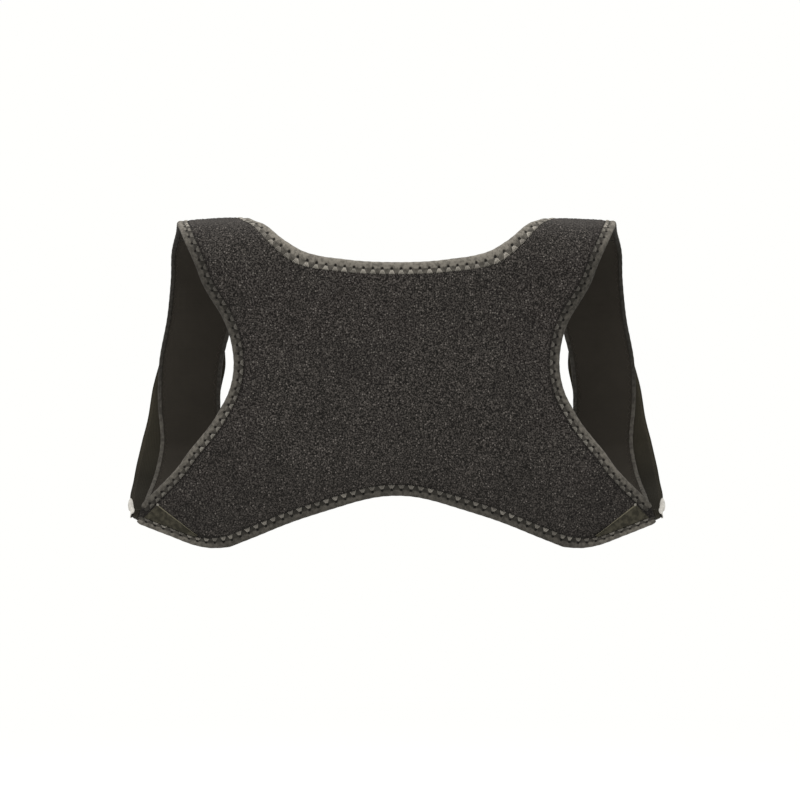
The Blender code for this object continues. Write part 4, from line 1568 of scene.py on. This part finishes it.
class POSTURE_OT_stage(bpy.types.Operator):
    """Makes the pale floor, the even light and the camera"""

    bl_idname = "posture.stage"
    bl_label = "Stage"

    def execute(self, context):
        sizes = context.scene.posture_stage
        sky_colour = (*context.scene.posture_colours.sky, 1.0)
        floor_mesh = bpy.data.meshes.new("floor")
        turn = np.linspace(0.0, 2 * math.pi, FLOOR_SIDES, endpoint=False)
        rim = np.column_stack([np.cos(turn), np.sin(turn), np.zeros(FLOOR_SIDES)]) * sizes.floor_radius
        floor_mesh.from_pydata(rim.tolist(), [], [tuple(range(FLOOR_SIDES))])
        floor = bpy.data.objects.new("floor", floor_mesh)
        floor.location = (0.0, 0.0, -sizes.floor_drop)
        made = Finish("pale_floor")
        where = made.add("ShaderNodeVectorMath", {"operation": "LENGTH"}, {0: made.place()}, output="Value")
        far = made.ramp(where, sizes.floor_fade * 0.4, sizes.floor_fade)
        dark = (0.0, 0.0, 0.0, 1.0)
        made.set(
            Base_Color=made.mix(far, shade(context.scene.posture_colours.floor, 1.0), dark),
            Roughness=1.0,
            Specular_IOR_Level=0.0,
            Emission_Color=made.mix(far, dark, sky_colour),
            Emission_Strength=sizes.sky_strength,
        )
        floor_mesh.materials.append(made.material)
        context.scene.collection.objects.link(floor)

        world = bpy.data.worlds.new("even_light")
        world.use_nodes = True
        sky = world.node_tree.nodes["Background"]
        sky.inputs["Color"].default_value = sky_colour
        sky.inputs["Strength"].default_value = sizes.sky_strength
        context.scene.world = world
        context.scene.view_settings.view_transform = "Standard"

        soft_light("top_light", sizes.top_power, *TOP_LIGHT)
        soft_light("front_light", sizes.front_power, *FRONT_LIGHT)

        lens = bpy.data.cameras.new("camera")
        lens.lens = sizes.camera_lens
        lens.sensor_width = 36.0
        camera = bpy.data.objects.new("camera", lens)
        camera.location = (sizes.camera_right, -sizes.camera_distance, sizes.camera_level)
        camera.rotation_euler = (math.pi / 2, 0.0, 0.0)
        context.scene.collection.objects.link(camera)
        context.scene.camera = camera
        return {"FINISHED"}


class POSTURE_OT_panel(bpy.types.Operator):
    """Makes the X-shaped back panel"""

    bl_idname = "posture.panel"
    bl_label = "Back panel"

    def execute(self, context):
        make_panel()
        return {"FINISHED"}


class POSTURE_OT_straps(bpy.types.Operator):
    """Makes both shoulder straps and both underarm straps"""

    bl_idname = "posture.straps"
    bl_label = "Straps"

    def execute(self, context):
        for word, side in SIDES:
            make_shoulder_strap(word, side)
            make_underarm_strap(word, side)
            radius = context.scene.posture_tape.thread_radius
            strands = running_stitches(word, side)
            make_threads(f"underarm_hem_stitches_{word}", strands, radius, "dark_thread")
        return {"FINISHED"}


class POSTURE_OT_tape(bpy.types.Operator):
    """Makes the folded tape on every edge, with its stitches"""

    bl_idname = "posture.tape"
    bl_label = "Tape and stitches"

    def execute(self, context):
        radius = context.scene.posture_tape.thread_radius
        runs = {
            "neck": (TapeRun("neck"), "neck_binding"),
            "lower": (TapeRun("hem"), "lower_binding"),
        }
        for word, side in SIDES:
            runs[f"armhole_{word}"] = (TapeRun("side", side), f"armhole_binding_{word}")
        for name, (run, node) in runs.items():
            make_tape(f"{name}_tape", run, node)
            make_threads(f"{name}_stitches", fans(run), radius, "tape_thread", fan_tones(run))
            make_threads(f"{name}_stitches_inside", zigzag(run), radius, "dark_thread")
        return {"FINISHED"}


class POSTURE_OT_trim(bpy.types.Operator):
    """Makes the corner facings with their bartacks, and the pale tabs"""

    bl_idname = "posture.trim"
    bl_label = "Facings and tabs"

    def execute(self, context):
        for word, side in SIDES:
            make_patch(word, side)
            make_tag(word, side)
            radius = context.scene.posture_tape.thread_radius
            strands = bartack(side)
            tones = np.full(len(strands), context.scene.posture_patch.bartack_tone)
            make_threads(f"corner_bartack_{word}", strands, radius, "tape_thread", tones)
        return {"FINISHED"}


class POSTURE_PT_sidebar(bpy.types.Panel):
    """Lists the steps in the 3D view's sidebar"""

    bl_label = "Posture Corrector"
    bl_idname = "POSTURE_PT_sidebar"
    bl_space_type = "VIEW_3D"
    bl_region_type = "UI"
    bl_category = "Posture Corrector"

    def draw(self, context):
        for step in STEPS:
            self.layout.operator(step.bl_idname)


STEPS = (POSTURE_OT_stage, POSTURE_OT_panel, POSTURE_OT_straps, POSTURE_OT_tape, POSTURE_OT_trim)
GROUPS = {
    "posture_cloth": ClothSizes,
    "posture_tape": TapeSizes,
    "posture_patch": PatchSizes,
    "posture_colours": Colours,
    "posture_stage": StageSizes,
}


def register():
    for kind in (*GROUPS.values(), *STEPS, POSTURE_PT_sidebar):
        bpy.utils.register_class(kind)
    for name, kind in GROUPS.items():
        setattr(bpy.types.Scene, name, bpy.props.PointerProperty(type=kind))


def unregister():
    for name in GROUPS:
        delattr(bpy.types.Scene, name)
    for kind in (POSTURE_PT_sidebar, *STEPS, *GROUPS.values()):
        bpy.utils.unregister_class(kind)


def main():
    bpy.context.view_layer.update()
    register()
    bpy.ops.posture.stage()
    bpy.ops.posture.panel()
    bpy.ops.posture.straps()
    bpy.ops.posture.tape()
    bpy.ops.posture.trim()
    bpy.context.view_layer.update()


if __name__ == "__main__":
    main()
